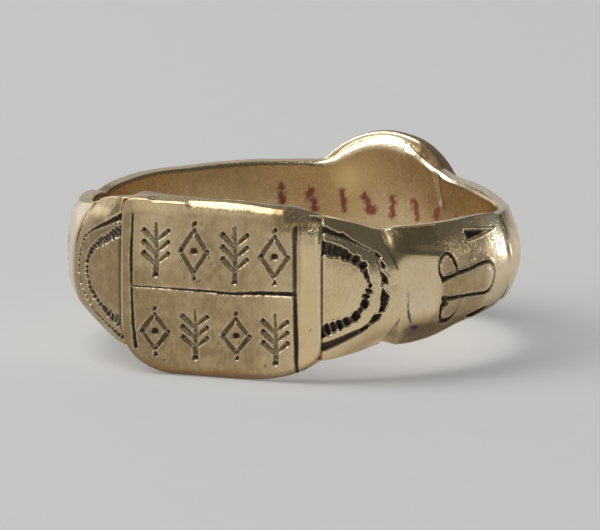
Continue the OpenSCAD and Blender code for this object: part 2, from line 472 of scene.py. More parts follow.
@dataclass
class HoopRun:
    """A run of the hoop between two angles, as one closed tube with a rounded rim above and below.

    Corner is the size of the rim's outer corner, which is larger about the blunt angle. Edge is the
    width of the worn edge at the finger hole, which is larger along the rear. The crease is a dent of
    the lining beside the medallion.
    """

    form: HoopForm
    stops: tuple[tuple[float, int], ...]
    skin_points: int = 150
    rim_points: int = 16
    wall_points: int = 26
    corner: float = 0.07
    blunt_more: float = 0.2
    blunt_at: float = -70.0
    blunt_half: float = 9.0
    mean_r: float = 10.4
    rim_waver: float = 0.03
    edge: float = 0.12
    edge_more: float = 0.13
    edge_slope: float = 0.83
    edge_start: tuple[float, float] = (96.0, 108.0)
    edge_end: tuple[float, float] = (200.0, 190.0)
    plate_half: float = 27.5
    plate_sink: float = 0.03
    dents: float = 0.022
    dent_sink: float = 0.012
    lining_wear: float = 0.02
    crease_depth: float = 0.13
    crease_at: tuple[float, float] = (153.4, 1.6)
    crease_lean: float = 1.6
    crease_half: float = 0.9

    @property
    def columns(self) -> int:
        """Number of cross-sections in the run."""
        return 1 + sum(count for _, count in self.stops)

    def angles(self) -> np.ndarray:
        """Angle of each column, with as many steps up to each stop as the stop says.

        Returns:
            The angles in order.
        """
        parts = [np.array([self.stops[0][0]])]
        for (start, _), (end, count) in zip(self.stops[:-1], self.stops[1:]):
            parts.append(np.linspace(start, end, count + 1)[1:])
        return np.concatenate(parts)

    def _sunk(self, angle: np.ndarray) -> np.ndarray:
        """How far the inner wall draws back where the plate lines the finger hole."""
        return self.plate_sink * eased(self.plate_half + 1.5, self.plate_half, np.abs(signed(angle)))

    @property
    def spans(self) -> tuple[slice, ...]:
        """Loop points of the outer skin, the upper rim, the lining and the lower rim.

        Returns:
            Four slices of the loop, in that order.
        """
        counts = (self.skin_points, self.rim_points, self.wall_points, self.rim_points)
        ends = np.cumsum((0, *counts)).tolist()
        return tuple(slice(start, end) for start, end in zip(ends[:-1], ends[1:]))

    def only(self, *spans: slice) -> np.ndarray:
        """True at the loop points of those spans, in every column.

        Args:
            *spans: Slices of the loop's points.

        Returns:
            One truth value for each point of the mesh.
        """
        mask = np.zeros((self.columns, self.loop()), bool)
        for span in spans:
            mask[:, span] = True
        return mask

    def _rim(
        self, outer: np.ndarray, inner: np.ndarray, fall: np.ndarray, corner: np.ndarray, lip: np.ndarray
    ) -> tuple[np.ndarray, np.ndarray]:
        """Radius of each rim point and how far it lies below the rim's highest place.

        Args:
            outer: Radius of each column at the outer corner.
            inner: Radius of each column at the finger hole.
            fall: Slope of each column's rim.
            corner: Size of each column's outer corner.
            lip: Width of each column's worn edge at the finger hole.

        Returns:
            Radii and drops, columns by rim points, counted from the outer corner.
        """
        share = np.linspace(0.0, 1.0, self.rim_points + 2)[1:-1] ** 1.7
        wide = (outer - inner)[:, None]
        run = wide * share[None, :]
        drop = corner[:, None] * unit(1.0 - run / corner[:, None]) ** 2
        drop = drop + fall[:, None] * share[None, :] ** 1.2
        lip = lip[:, None]
        return outer[:, None] - run, drop + self.edge_slope * lip * unit(1.0 - (wide - run) / lip) ** 2

    def lay_out(self) -> tuple[np.ndarray, np.ndarray, np.ndarray]:
        """Angle, radius and level of every point, as columns by loop points.

        Returns:
            Three arrays with one row for each column of the run.
        """
        form = self.form
        angle = self.angles()
        above, below = form.section(angle).T[:2]
        mean_r = np.full_like(angle, self.mean_r)
        ragged = Hammering(seed=31, pitch=1.5).at(form.place(angle, mean_r, np.zeros_like(angle)))
        above = above + self.rim_waver * ragged
        below = below + self.rim_waver * ragged[::-1]
        r = np.empty((self.columns, self.loop()))
        level = np.empty_like(r)
        blunt = self.corner + self.blunt_more * bell(signed(angle), self.blunt_at, self.blunt_half)
        sharp = np.full_like(angle, self.corner)
        thin = np.full_like(angle, self.edge)
        turn = angle % FULL_TURN
        lip = thin + self.edge_more * eased(*self.edge_start, turn) * eased(*self.edge_end, turn)
        share = np.linspace(0.0, 1.0, self.skin_points)
        low, high = -(below - sharp), above - blunt
        skin_level = low[:, None] + (high - low)[:, None] * share[None, :]
        flat_angle = np.repeat(angle, self.skin_points)
        skin_r = form.skin_r(flat_angle, skin_level.ravel()).reshape(self.columns, -1)
        inner = form.bore_r + self._sunk(angle)
        skin, upper_rim, lining, lower_rim = self.spans
        r[:, skin], level[:, skin] = skin_r, skin_level
        fall = form.fall(angle)
        rim_r, drop = self._rim(skin_r[:, -1], inner, fall, blunt, lip)
        r[:, upper_rim], level[:, upper_rim] = rim_r, above[:, None] - drop
        rim_r, drop = self._rim(skin_r[:, 0], inner, fall, sharp, thin)
        r[:, lower_rim], level[:, lower_rim] = rim_r[:, ::-1], drop[:, ::-1] - below[:, None]
        down = np.linspace(0.0, 1.0, self.wall_points)
        upper, lower = above - fall - self.edge_slope * lip - 0.03, fall + 0.13 - below
        r[:, lining] = inner[:, None]
        level[:, lining] = upper[:, None] + (lower - upper)[:, None] * down[None, :]
        return np.repeat(angle[:, None], self.loop(), axis=1), r, level

    def worn(self, angle: np.ndarray, r: np.ndarray, level: np.ndarray, inner: np.ndarray) -> np.ndarray:
        """Radius after wear: soft dents outside, and a slightly uneven lining of the finger hole.

        Args:
            angle: Angle of every point, columns by loop points.
            r: Radius of every point.
            level: Level of every point.
            inner: True where a point belongs to the lining.

        Returns:
            New radii, laid out as the old ones.
        """
        places = self.form.place(angle, r, level)
        wear = Hammering(seed=3, pitch=2.3).at(places)
        small = Hammering(seed=4, pitch=0.75).at(places)
        dents = (self.dents * (0.7 * wear + 0.3 * small) - self.dent_sink) * self.form.outward(r)
        turn, height = self.crease_at
        crease = bell(angle - turn - self.crease_lean * (level - height), 0.0, self.crease_half)
        free = eased(self.plate_half + 0.5, self.plate_half + 3.5, np.abs(signed(angle)))
        crease = crease * eased(0.8, 1.4, level)
        lining = self.lining_wear * (1.0 + wear) * free + self.crease_depth * crease
        return r + np.where(inner, lining, dents)

    def loop(self) -> int:
        """Number of points in one closed cross-section."""
        return self.skin_points + 2 * self.rim_points + self.wall_points

    def faces(self) -> list[list[int]]:
        """Quads of the tube and a cap at each end.

        Returns:
            Corner numbers of each face.
        """
        n, count = self.loop(), self.columns
        caps = [range(n), reversed(range((count - 1) * n, count * n))]
        return tube_quads(count, n) + [list(cap) for cap in caps]


class NodeSheet:
    """Short ways to lay out a material's nodes, with all patterns measured in millimetres."""

    def __init__(self, name: str) -> None:
        """Starts a material of that name with an empty node tree.

        Args:
            name: Name of the material.
        """
        self.material = bpy.data.materials.new(name)
        self.material.use_nodes = True
        self.tree = self.material.node_tree
        self.tree.nodes.clear()
        coordinates = self.node("ShaderNodeTexCoord")
        scaled = self.node("ShaderNodeMapping")
        scaled.inputs["Scale"].default_value = (1.0 / MM,) * 3
        self.tree.links.new(coordinates.outputs["Object"], scaled.inputs["Vector"])
        self.places = scaled.outputs["Vector"]

    def node(self, kind: str) -> bpy.types.Node:
        """A new node of that kind."""
        return self.tree.nodes.new(kind)

    def put(self, socket: Socket, value: Union[Socket, float, Sequence[float]]) -> None:
        """Links or sets a socket, whichever the value calls for.

        Args:
            socket: Socket that takes the value.
            value: Another socket, or a number or a row of them.
        """
        if isinstance(value, bpy.types.NodeSocket):
            self.tree.links.new(value, socket)
        else:
            socket.default_value = value

    def stretched(self, scale: Sequence[float], turn: Sequence[float] = (0.0, 0.0, 0.0)) -> Socket:
        """Pattern space in millimetres, turned in degrees and then stretched.

        Args:
            scale: Stretch along each axis.
            turn: Turn about each axis.

        Returns:
            Socket with the changed places.
        """
        turned = self.node("ShaderNodeMapping")
        turned.inputs["Rotation"].default_value = tuple(math.radians(t) for t in turn)
        self.put(turned.inputs["Vector"], self.places)
        mapping = self.node("ShaderNodeMapping")
        mapping.inputs["Scale"].default_value = tuple(scale)
        self.put(mapping.inputs["Vector"], turned.outputs["Vector"])
        return mapping.outputs["Vector"]

    def noise(
        self, per_mm: float, detail: float = 3.0, rough: float = 0.5, space: Optional[Socket] = None
    ) -> Socket:
        """Cloudy pattern with so many features to a millimetre.

        Args:
            per_mm: Features to a millimetre.
            detail: How many finer layers it has.
            rough: How strong the finer layers are.
            space: Places to use instead of the plain ones.

        Returns:
            Socket with the pattern, from 0 to 1.
        """
        noise = self.node("ShaderNodeTexNoise")
        noise.inputs["Scale"].default_value = per_mm
        noise.inputs["Detail"].default_value = detail
        noise.inputs["Roughness"].default_value = rough
        self.put(noise.inputs["Vector"], space or self.places)
        return noise.outputs["Fac"]

    def specks(self, per_mm: float) -> Socket:
        """Distance from scattered points, so many to a millimetre.

        Args:
            per_mm: Points to a millimetre.

        Returns:
            Socket with the distance.
        """
        cells = self.node("ShaderNodeTexVoronoi")
        cells.inputs["Scale"].default_value = per_mm
        self.put(cells.inputs["Vector"], self.places)
        return cells.outputs["Distance"]

    def span(
        self, value: Socket, low: float, high: float, to_low: float = 0.0, to_high: float = 1.0
    ) -> Socket:
        """The value carried from one range to another, smoothly and without going past its ends.

        Args:
            value: Socket to carry over.
            low: Start of the range that it has.
            high: End of that range.
            to_low: Start of the range that it gets.
            to_high: End of that range.

        Returns:
            Socket with the result.
        """
        ranger = self.node("ShaderNodeMapRange")
        ranger.interpolation_type = "SMOOTHSTEP"
        self.put(ranger.inputs["Value"], value)
        for key, number in (("From Min", low), ("From Max", high), ("To Min", to_low), ("To Max", to_high)):
            ranger.inputs[key].default_value = number
        return ranger.outputs["Result"]

    def sum_up(self, kind: str, a: Union[Socket, float], b: Union[Socket, float]) -> Socket:
        """Result of one step of arithmetic, such as ADD or MULTIPLY.

        Args:
            kind: Name of the operation.
            a: First number.
            b: Second number.

        Returns:
            Socket with the result.
        """
        step = self.node("ShaderNodeMath")
        step.operation = kind
        self.put(step.inputs[0], a)
        self.put(step.inputs[1], b)
        return step.outputs["Value"]

    def mark(self, mark: Mark) -> Socket:
        """Value of a mark that the mesh carries.

        Args:
            mark: The mark to read.

        Returns:
            Socket with its value.
        """
        attribute = self.node("ShaderNodeAttribute")
        attribute.attribute_name = mark.value
        return attribute.outputs["Fac"]

    def blend(self, share: Socket, a: Union[Socket, Colour], b: Union[Socket, Colour]) -> Socket:
        """Colour between two colours.

        Args:
            share: How much of the second colour is taken.
            a: First colour.
            b: Second colour.

        Returns:
            Socket with the colour.
        """
        mix = self.node("ShaderNodeMix")
        mix.data_type = "RGBA"
        self.put(mix.inputs["Factor"], share)
        for key, colour in (("A", a), ("B", b)):
            socket = next(s for s in mix.inputs if s.name == key and s.type == "RGBA")
            self.put(socket, colour if isinstance(colour, bpy.types.NodeSocket) else (*colour, 1.0))
        return next(s for s in mix.outputs if s.type == "RGBA")

    def between(self, share: Socket, a: Union[Socket, float], b: Union[Socket, float]) -> Socket:
        """Number between two numbers.

        Args:
            share: How much of the second number is taken.
            a: First number.
            b: Second number.

        Returns:
            Socket with the number.
        """
        mix = self.node("ShaderNodeMix")
        self.put(mix.inputs["Factor"], share)
        for key, number in (("A", a), ("B", b)):
            socket = next(s for s in mix.inputs if s.name == key and s.type == "VALUE")
            self.put(socket, number)
        return next(s for s in mix.outputs if s.type == "VALUE")

    def bump(self, height: Socket, depth_mm: float, under: Optional[Socket] = None) -> Socket:
        """Fine relief of that depth, laid over another.

        Args:
            height: Pattern that is raised.
            depth_mm: Height of the relief.
            under: Relief that lies below it.

        Returns:
            Socket with the bent normal.
        """
        bump = self.node("ShaderNodeBump")
        bump.inputs["Strength"].default_value = 1.0
        bump.inputs["Distance"].default_value = depth_mm * MM
        self.put(bump.inputs["Height"], height)
        if under is not None:
            self.put(bump.inputs["Normal"], under)
        return bump.outputs["Normal"]

    def finish(self, **values: Union[Socket, float, Sequence[float]]) -> bpy.types.Material:
        """Closes the material with one shader whose sockets take the values.

        Args:
            values: Socket names with underscores for spaces, and what each takes.

        Returns:
            The finished material.
        """
        shader = self.node("ShaderNodeBsdfPrincipled")
        for key, value in values.items():
            self.put(shader.inputs[key.replace("_", " ")], value)
        output = self.node("ShaderNodeOutputMaterial")
        self.tree.links.new(shader.outputs["BSDF"], output.inputs["Surface"])
        return self.material


@dataclass(frozen=True)
class SatinGold:
    """Pale old gold with a satin face, fine scratches and brownish dirt in its cuts; its marks also paint
    shade, highlights and a caustic onto it.
    """

    name: str
    pale: Colour = (0.93, 0.745, 0.455)
    warm: Colour = (0.87, 0.665, 0.365)
    olive: Colour = (0.5, 0.385, 0.215)
    # Tarnished gold, also used to paint shade and darker reflections.
    tarnish_and_shade_dark: Colour = (0.4, 0.285, 0.142)
    # Painted warm shade, the ring's shadow seen in its lower edges.
    shadow_brown: Colour = (0.4, 0.235, 0.09)
    # Darker, warmer gold painted on the inner surfaces as shade.
    inner: Colour = (0.84, 0.665, 0.4)
    # Dirt in the cuts, also used to paint shade.
    grime_and_shade: Colour = (0.056, 0.041, 0.031)
    grime_and_shade_light: Colour = (0.15, 0.098, 0.055)
    ink: Colour = (0.045, 0.05, 0.17)
    paint: Colour = (0.25, 0.035, 0.008)
    # Whiter gold for polish and for painted highlights.
    polish_highlight: Colour = (0.95, 0.84, 0.655)
    # Painted caustic on the lining.
    caustic_light: Colour = (1.0, 0.8, 0.42)
    satin: float = 0.2
    worn_satin: float = 0.42
    dirt_satin: float = 0.7
    scratch_turns: Path = ((0.0, 0.0, 0.0), (0.0, 32.0, 0.0), (14.0, -21.0, 8.0))
    scratch_pitch: float = 19.0
    scratch_depth: float = 0.004
    grain_depth: float = 0.0014
    ripple_depth: float = 0.006
    crumb_depth: float = 0.03

    def _scratches(self, sheet: NodeSheet) -> Socket:
        """Fine scratches in several directions, from 0 between them to 1 in them.

        Args:
            sheet: Node sheet of the finish.

        Returns:
            Socket with the scratches.
        """
        scratches: Optional[Socket] = None
        for number, turn in enumerate(self.scratch_turns):
            across = self.scratch_pitch - 4.0 * number
            space = sheet.stretched((across, across, 0.75), turn)
            line = sheet.span(sheet.noise(1.0, 2.0, 0.5, space), 0.6, 0.7)
            scratches = line if scratches is None else sheet.sum_up("MAXIMUM", scratches, line)
        return scratches

    def material(self) -> bpy.types.Material:
        """The finish as a procedural material.

        Returns:
            The material, ready to put on a piece.
        """
        sheet = NodeSheet(self.name)
        cloud = sheet.span(sheet.noise(0.38, 4.0, 0.6), 0.35, 0.65)
        tarnish = sheet.span(sheet.noise(1.5, 6.0, 0.68), 0.52, 0.8, 0.0, 0.42)
        fine = sheet.noise(16.0, 3.0, 0.6)
        colour = sheet.blend(cloud, self.pale, self.warm)
        colour = sheet.blend(tarnish, colour, self.olive)
        # Inner surfaces are painted a darker, warmer copy of the gold as shade.
        inside, tarnish_and_shade = sheet.mark(Mark.INSIDE), sheet.mark(Mark.TARNISH_AND_SHADE)
        colour = sheet.blend(inside, colour, self.inner)
        # Tarnish and painted shade darken the gold, broken up by noise.
        patchy = sheet.sum_up("MULTIPLY", tarnish_and_shade, sheet.span(sheet.noise(2.2, 5.0, 0.62), 0.3, 0.7, 0.78, 1.18))
        colour = sheet.blend(patchy, colour, self.tarnish_and_shade_dark)
        # A painted caustic: reflected light painted on the lining.
        caustic_light = sheet.mark(Mark.PAINTED_CAUSTIC)
        colour = sheet.blend(caustic_light, colour, self.caustic_light)
        scratches = self._scratches(sheet)
        speck = sheet.span(sheet.specks(1.9), 0.085, 0.03)
        speck = sheet.sum_up("MULTIPLY", speck, sheet.span(sheet.noise(0.9), 0.5, 0.62))
        colour = sheet.blend(sheet.sum_up("MULTIPLY", speck, 0.8), colour, self.grime_and_shade_light)
        colour = sheet.blend(sheet.sum_up("MULTIPLY", scratches, 0.2), colour, self.pale)
        # Painted warm shade in the lower edges.
        warm = sheet.mark(Mark.WARM_SHADE)
        colour = sheet.blend(sheet.sum_up("MULTIPLY", warm, 0.8), colour, self.shadow_brown)
        crumbs = sheet.span(sheet.noise(7.0, 5.0, 0.65), 0.36, 0.6)
        # Dirt in the cuts, and painted shade where the mark is laid outside them.
        residue_and_shade = sheet.mark(Mark.RESIDUE_AND_SHADE)
        held = sheet.sum_up("MULTIPLY", residue_and_shade, sheet.between(crumbs, 0.85, 1.1))
        cover = sheet.span(held, 0.15, 0.78)
        dirt = sheet.blend(crumbs, self.grime_and_shade_light, self.grime_and_shade)
        dirt = sheet.blend(sheet.span(residue_and_shade, 0.5, 0.95), self.grime_and_shade_light, dirt)
        colour = sheet.blend(cover, colour, dirt)
        # Polish and painted highlights whiten the gold.
        bright = sheet.mark(Mark.POLISH_AND_HIGHLIGHT)
        colour = sheet.blend(sheet.sum_up("MULTIPLY", bright, 0.75), colour, self.polish_highlight)
        ink, paint = sheet.mark(Mark.INK), sheet.mark(Mark.PAINT)
        colour = sheet.blend(paint, sheet.blend(ink, colour, self.ink), self.paint)
        painted = sheet.sum_up("MAXIMUM", ink, paint)
        hidden = sheet.sum_up("MAXIMUM", sheet.sum_up("MULTIPLY", cover, 0.85), painted)
        metal = sheet.sum_up("SUBTRACT", 1.0, hidden)
        rough = sheet.between(sheet.noise(2.6, 4.0, 0.6), self.satin - 0.05, self.satin + 0.1)
        matt = sheet.sum_up("MULTIPLY", sheet.sum_up("ADD", tarnish, patchy), 0.1)
        rough = sheet.sum_up("ADD", rough, matt)
        rough = sheet.between(sheet.sum_up("MAXIMUM", cover, painted), rough, self.dirt_satin)
        rough = sheet.between(bright, rough, self.satin)
        rough = sheet.between(caustic_light, rough, self.worn_satin)
        relief = sheet.bump(fine, self.grain_depth)
        relief = sheet.bump(sheet.noise(3.2, 2.0, 0.5), self.ripple_depth, relief)
        relief = sheet.bump(sheet.sum_up("ADD", scratches, speck), -self.scratch_depth, relief)
        relief = sheet.bump(sheet.sum_up("MULTIPLY", crumbs, cover), self.crumb_depth, relief)
        return sheet.finish(Base_Color=colour, Metallic=metal, Roughness=rough, Normal=relief)


@dataclass(frozen=True)
class PaleFloor:
    """Matt pale grey board under the ring, lit faintly from below as on a light table."""

    colour: Colour = (0.5, 0.496, 0.492)
    fleck: Colour = (0.49, 0.485, 0.48)
    glow: float = 0.41

    def material(self) -> bpy.types.Material:
        """The finish as a procedural material.

        Returns:
            The material, ready to put on the floor.
        """
        sheet = NodeSheet("pale_board")
        cloud = sheet.noise(0.6, 3.0, 0.5)
        board = sheet.blend(cloud, self.colour, self.fleck)
        return sheet.finish(
            Base_Color=board,
            Emission_Color=board,
            Emission_Strength=self.glow,
            Roughness=0.85,
            Specular_IOR_Level=0.1,
        )


@dataclass
class MetalPiece:
    """A mesh of the ring on its way into the scene."""

    name: str
    finish: bpy.types.Material

    def cast(
        self,
        places: np.ndarray,
        faces: Sequence[Sequence[int]],
        marks: dict[Mark, np.ndarray],
    ) -> bpy.types.Object:
        """Makes the piece from its points and faces and ties it to the frame.

        Args:
            places: Points in millimetres, one to a row.
            faces: Point numbers of each face, counter-clockwise from outside.
            marks: What each point carries for the finish.

        Returns:
            The new object.
        """
        mesh = bpy.data.meshes.new(self.name)
        mesh.from_pydata((places * MM).tolist(), [], faces)
        for mark in Mark:
            values = marks.get(mark, np.zeros(len(places)))
            layer = mesh.attributes.new(mark.value, "FLOAT", "POINT")
            layer.data.foreach_set("value", unit(values).astype(np.float32))
        mesh.shade_smooth()
        mesh.materials.append(self.finish)
        piece = bpy.data.objects.new(self.name, mesh)
        bpy.context.scene.collection.objects.link(piece)
        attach(piece, "root")
        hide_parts("ring")
        LOG.info("%s: %d points, %d faces", self.name, len(places), len(faces))
        return piece

    def wrap(
        self,
        run: HoopRun,
        angle: np.ndarray,
        r: np.ndarray,
        level: np.ndarray,
        marks: dict[Mark, np.ndarray],
    ) -> bpy.types.Object:
        """Makes the piece from a run of the hoop, whichever way round it was laid out.

        Args:
            run: The run that gives the faces.
            angle: Angle of every point, columns by loop points.
            r: Radius of every point.
            level: Level of every point.
            marks: What each point carries for the finish, laid out as the angles.

        Returns:
            The new object.
        """
        faces = run.faces()
        if angle[-1, 0] < angle[0, 0]:
            faces = [face[::-1] for face in faces]
        places = run.form.place(angle.ravel(), r.ravel(), level.ravel() + run.form.mid_z)
        return self.cast(places, faces, {mark: values.ravel() for mark, values in marks.items()})


@dataclass(frozen=True)
class PunchRow:
    """Punch marks set side by side along a path whose rows give angle, level and the marks' width."""

    path: Path
    pitch: float
    length: float
    depth: float
    lean: float = 0.0


@dataclass
class Shoulder:
    """One side of the ring from the plate to the pinch: a grooved panel and a lobe with its scroll.

    Each row of a line gives angle, level and width, each row of the inner pits a length as well, and
    each row of a side pit or wedge one corner.
    """

    form: HoopForm
    side: Side
    finish: bpy.types.Material
    stops: tuple[tuple[float, int], ...] = ((23.5, 0), (87.5, 326), (90.2, 54))
    notch_depth: float = 0.36
    pit_depth: float = 0.34
    pit_slope: float = 0.09
    pit_stretch: float = 1.14
    side_pit_slope: float = 0.06
    wedge_slope: float = 0.2
    brow_fall: float = 0.07
    scratches: int = 26
    unrolled: tuple[float, float, int] = (20.0, 95.0, 400)
    grain_seed: int = 5
    punch_seed: int = 17
    pit_seed: int = 19
    scratch_seed: int = 29
    PIT_CORNERS: Path = (
        (0.5, 0.28), (0.3, 0.5), (-0.3, 0.5), (-0.5, 0.28), (-0.5, -0.3), (-0.3, -0.5), (0.3, -0.5),
        (0.5, -0.3),
    )
    INNER_PITS: Path = (
        (25.0, 2.1, 0.72, 0.4), (26.2, 2.06, 0.74, 0.4), (27.5, 2.0, 0.7, 0.4), (28.8, 1.93, 0.64, 0.4),
        (30.1, 1.87, 0.56, 0.38), (31.5, 1.75, 0.5, 0.36), (32.7, 1.61, 0.43, 0.3),
        (34.2, 1.47, 0.46, 0.36), (35.9, 1.18, 0.46, 0.36), (36.6, 0.78, 0.24, 0.32),
        (37.6, 0.25, 0.25, 0.22), (37.2, 0.03, 0.42, 0.17), (36.6, -0.22, 0.44, 0.18),
        (36.3, -0.57, 0.48, 0.4), (34.1, -1.16, 0.5, 0.36), (32.1, -1.39, 0.48, 0.27),
        (30.4, -1.52, 0.53, 0.27), (29.0, -1.62, 0.58, 0.27), (27.6, -1.73, 0.62, 0.27),
        (26.2, -1.83, 0.66, 0.27), (24.9, -1.93, 0.68, 0.27),
    )
    OUTER_TOP: Path = (
        (24.0, 3.05, 0.42), (25.4, 2.96, 0.4), (28.2, 2.77, 0.36), (30.2, 2.62, 0.24), (31.2, 2.56, 0.3),
        (32.6, 2.43, 0.19), (34.3, 2.25, 0.12), (36.0, 2.09, 0.07), (37.8, 1.91, 0.06), (38.9, 1.62, 0.06),
        (39.7, 1.17, 0.06), (40.1, 0.7, 0.05), (40.3, 0.22, 0.05),
    )
    OUTER_FOOT: Path = (
        (24.0, -2.77, 0.56), (25.6, -2.65, 0.52), (28.2, -2.46, 0.42), (31.1, -2.23, 0.36),
        (33.5, -2.02, 0.34), (35.8, -1.82, 0.26), (37.0, -1.68, 0.16),
    )
    SIDE_PITS: tuple[Path, ...] = (
        ((38.7, 1.9), (39.5, 1.77), (40.7, 1.54), (39.7, 1.43), (38.9, 1.64)),
        ((40.0, 1.46), (41.5, 1.15), (41.3, 1.02), (40.3, 1.04)),
        ((40.0, 0.95), (41.9, 0.58), (41.8, 0.3), (40.4, 0.35)),
        ((40.3, 0.18), (42.4, -0.28), (41.7, -0.68), (40.0, -0.73), (39.8, -0.36)),
        ((39.9, -0.66), (41.8, -0.6), (41.1, -0.98), (39.2, -1.04)),
        ((38.4, -1.08), (40.8, -1.06), (39.9, -1.36), (38.4, -1.54), (37.0, -1.56)),
        ((36.7, -1.54), (38.4, -1.52), (37.2, -1.78), (35.6, -1.94), (35.0, -1.8)),
    )
    LEFT_OUTER_TOP: Path = (
        (24.0, 3.12, 0.5), (26.3, 2.93, 0.42), (30.0, 2.62, 0.3), (34.4, 2.26, 0.2), (37.6, 1.99, 0.1),
    )
    LEFT_OUTER: Path = (
        (37.2, 2.02, 0.2), (39.4, 1.73, 0.22), (40.6, 1.36, 0.24), (41.3, 0.99, 0.25), (41.8, 0.6, 0.25),
        (41.7, 0.0, 0.25), (41.0, -0.44, 0.25), (40.0, -0.8, 0.26), (38.8, -1.17, 0.27),
        (37.3, -1.49, 0.28), (35.9, -1.81, 0.29), (33.7, -2.08, 0.3), (31.0, -2.34, 0.33),
        (28.1, -2.61, 0.37), (24.5, -2.95, 0.42),
    )
    LEFT_INNER: Path = (
        (24.3, 2.4, 0.6), (27.1, 2.19, 0.57), (29.3, 1.95, 0.55), (31.9, 1.68, 0.5), (34.6, 1.4, 0.45),
        (36.5, 1.09, 0.42), (37.9, 0.65, 0.38), (38.2, 0.18, 0.34), (37.8, -0.27, 0.34), (36.5, -0.7, 0.36),
        (34.9, -1.05, 0.4), (33.1, -1.34, 0.44), (31.1, -1.61, 0.5), (28.6, -1.84, 0.57),
        (24.5, -2.2, 0.64),
    )
    UPPER_LEAF: Path = (
        (59.4, 1.35, 0.14), (60.6, 1.3, 0.2), (61.7, 1.17, 0.24), (62.8, 0.87, 0.25), (63.5, 0.64, 0.23),
        (64.0, 0.36, 0.17), (62.6, 0.25, 0.17), (60.6, 0.21, 0.19), (58.6, 0.12, 0.25), (57.8, 0.36, 0.21),
        (57.3, 0.66, 0.18), (57.3, 0.91, 0.16), (57.9, 1.16, 0.15), (59.4, 1.35, 0.14),
    )
    STEM: Path = (
        (63.8, 0.32, 0.2), (65.8, 0.34, 0.18), (68.8, 0.39, 0.17), (71.8, 0.48, 0.17), (74.7, 0.53, 0.17),
        (77.6, 0.52, 0.19), (79.2, 0.27, 0.2), (79.9, -0.02, 0.19), (79.9, -0.35, 0.2), (79.4, -0.64, 0.21),
        (78.3, -0.88, 0.21), (76.4, -0.97, 0.19), (73.6, -0.93, 0.18), (70.4, -0.88, 0.17),
        (67.4, -0.86, 0.17), (64.4, -0.82, 0.18), (61.6, -0.82, 0.2), (58.6, -0.76, 0.26),
    )
    LOWER_LEAF: Path = (
        (58.7, -0.78, 0.3), (59.6, -0.98, 0.3), (58.4, -1.05, 0.26), (58.0, -1.3, 0.24),
        (57.9, -1.58, 0.22), (58.6, -1.83, 0.27), (60.8, -1.86, 0.24), (62.6, -1.74, 0.18),
        (64.0, -1.57, 0.12), (64.9, -1.35, 0.08), (65.4, -1.16, 0.06), (65.4, -0.92, 0.05),
    )
    WEDGE: Path = ((68.5, 2.2), (69.7, 1.6), (73.8, 1.7), (84.0, 1.84), (84.0, 1.86))
    LOWER_WEDGE: Path = ((70.2, -1.95, 0.1), (73.4, -1.95, 0.26), (77.2, -1.84, 0.24), (81.0, -1.74, 0.05))
    INK_LINE: Path = (
        (47.4, -0.22, 0.04), (47.4, -0.6, 0.07), (47.5, -0.98, 0.13), (47.7, -1.33, 0.16),
        (48.3, -1.66, 0.12),
    )
    INK_BLOT: Path = ((48.7, -1.88, 0.16), (50.0, -1.95, 0.26), (50.3, -1.84, 0.16))

    def _flat(self, angle: np.ndarray, level: np.ndarray) -> np.ndarray:
        """Places on the unrolled surface: length along the crown, and level.

        Args:
            angle: Signed angles of the points.
            level: Heights over the middle of the band.

        Returns:
            One row of two millimetre values for each point.
        """
        grid = np.linspace(*self.unrolled)
        radius = self.form.skin_r(grid * self.side.value, np.zeros_like(grid))
        steps = np.diff(grid) * math.pi / HALF_TURN * (radius[1:] + radius[:-1]) / 2.0
        length = np.concatenate([[0.0], np.cumsum(steps)])
        return np.stack([np.interp(np.abs(angle), grid, length), level], axis=-1)

    def _line(self, rows: Path) -> tuple[np.ndarray, np.ndarray]:
        """Flat path and widths of a line whose rows give angle, level and width."""
        table = np.array(rows, float)
        return self._flat(table[:, 0], table[:, 1]), table[:, 2]

    def _dig(self, relief: Relief) -> None:
        """Digs the inner groove of the right panel, pit by pit, each squared to the groove's run.

        Args:
            relief: Surface that takes the cuts.
        """
        chance = np.random.default_rng(self.pit_seed)
        table = np.array(self.INNER_PITS)
        middle = self._flat(table[:, 0], table[:, 1])
        run = np.gradient(middle, axis=0)
        run /= np.hypot(*run.T)[:, None]
        for here, along, (width, length) in zip(middle, run, table[:, 2:] * (1.0, self.pit_stretch)):
            aside = np.array([-along[1], along[0]])
            corners = []
            for x, y in self.PIT_CORNERS:
                jog = chance.uniform(0.9, 1.1, 2)
                corners.append(here + along * (x * length * jog[0]) + aside * (y * width * jog[1]))
            deep = self.pit_depth * chance.uniform(0.8, 1.1) * min(1.0, 0.5 + width)
            relief.pit(corners, self.pit_slope, Cut(deep, lip=0.02, dirt=0.95, waver=0.2, rough=0.3))

    @staticmethod
    def _point(path: np.ndarray, length: np.ndarray, at: float) -> np.ndarray:
        """Point of a path at a length from its start."""
        return np.array([np.interp(at, length, axis) for axis in path.T])

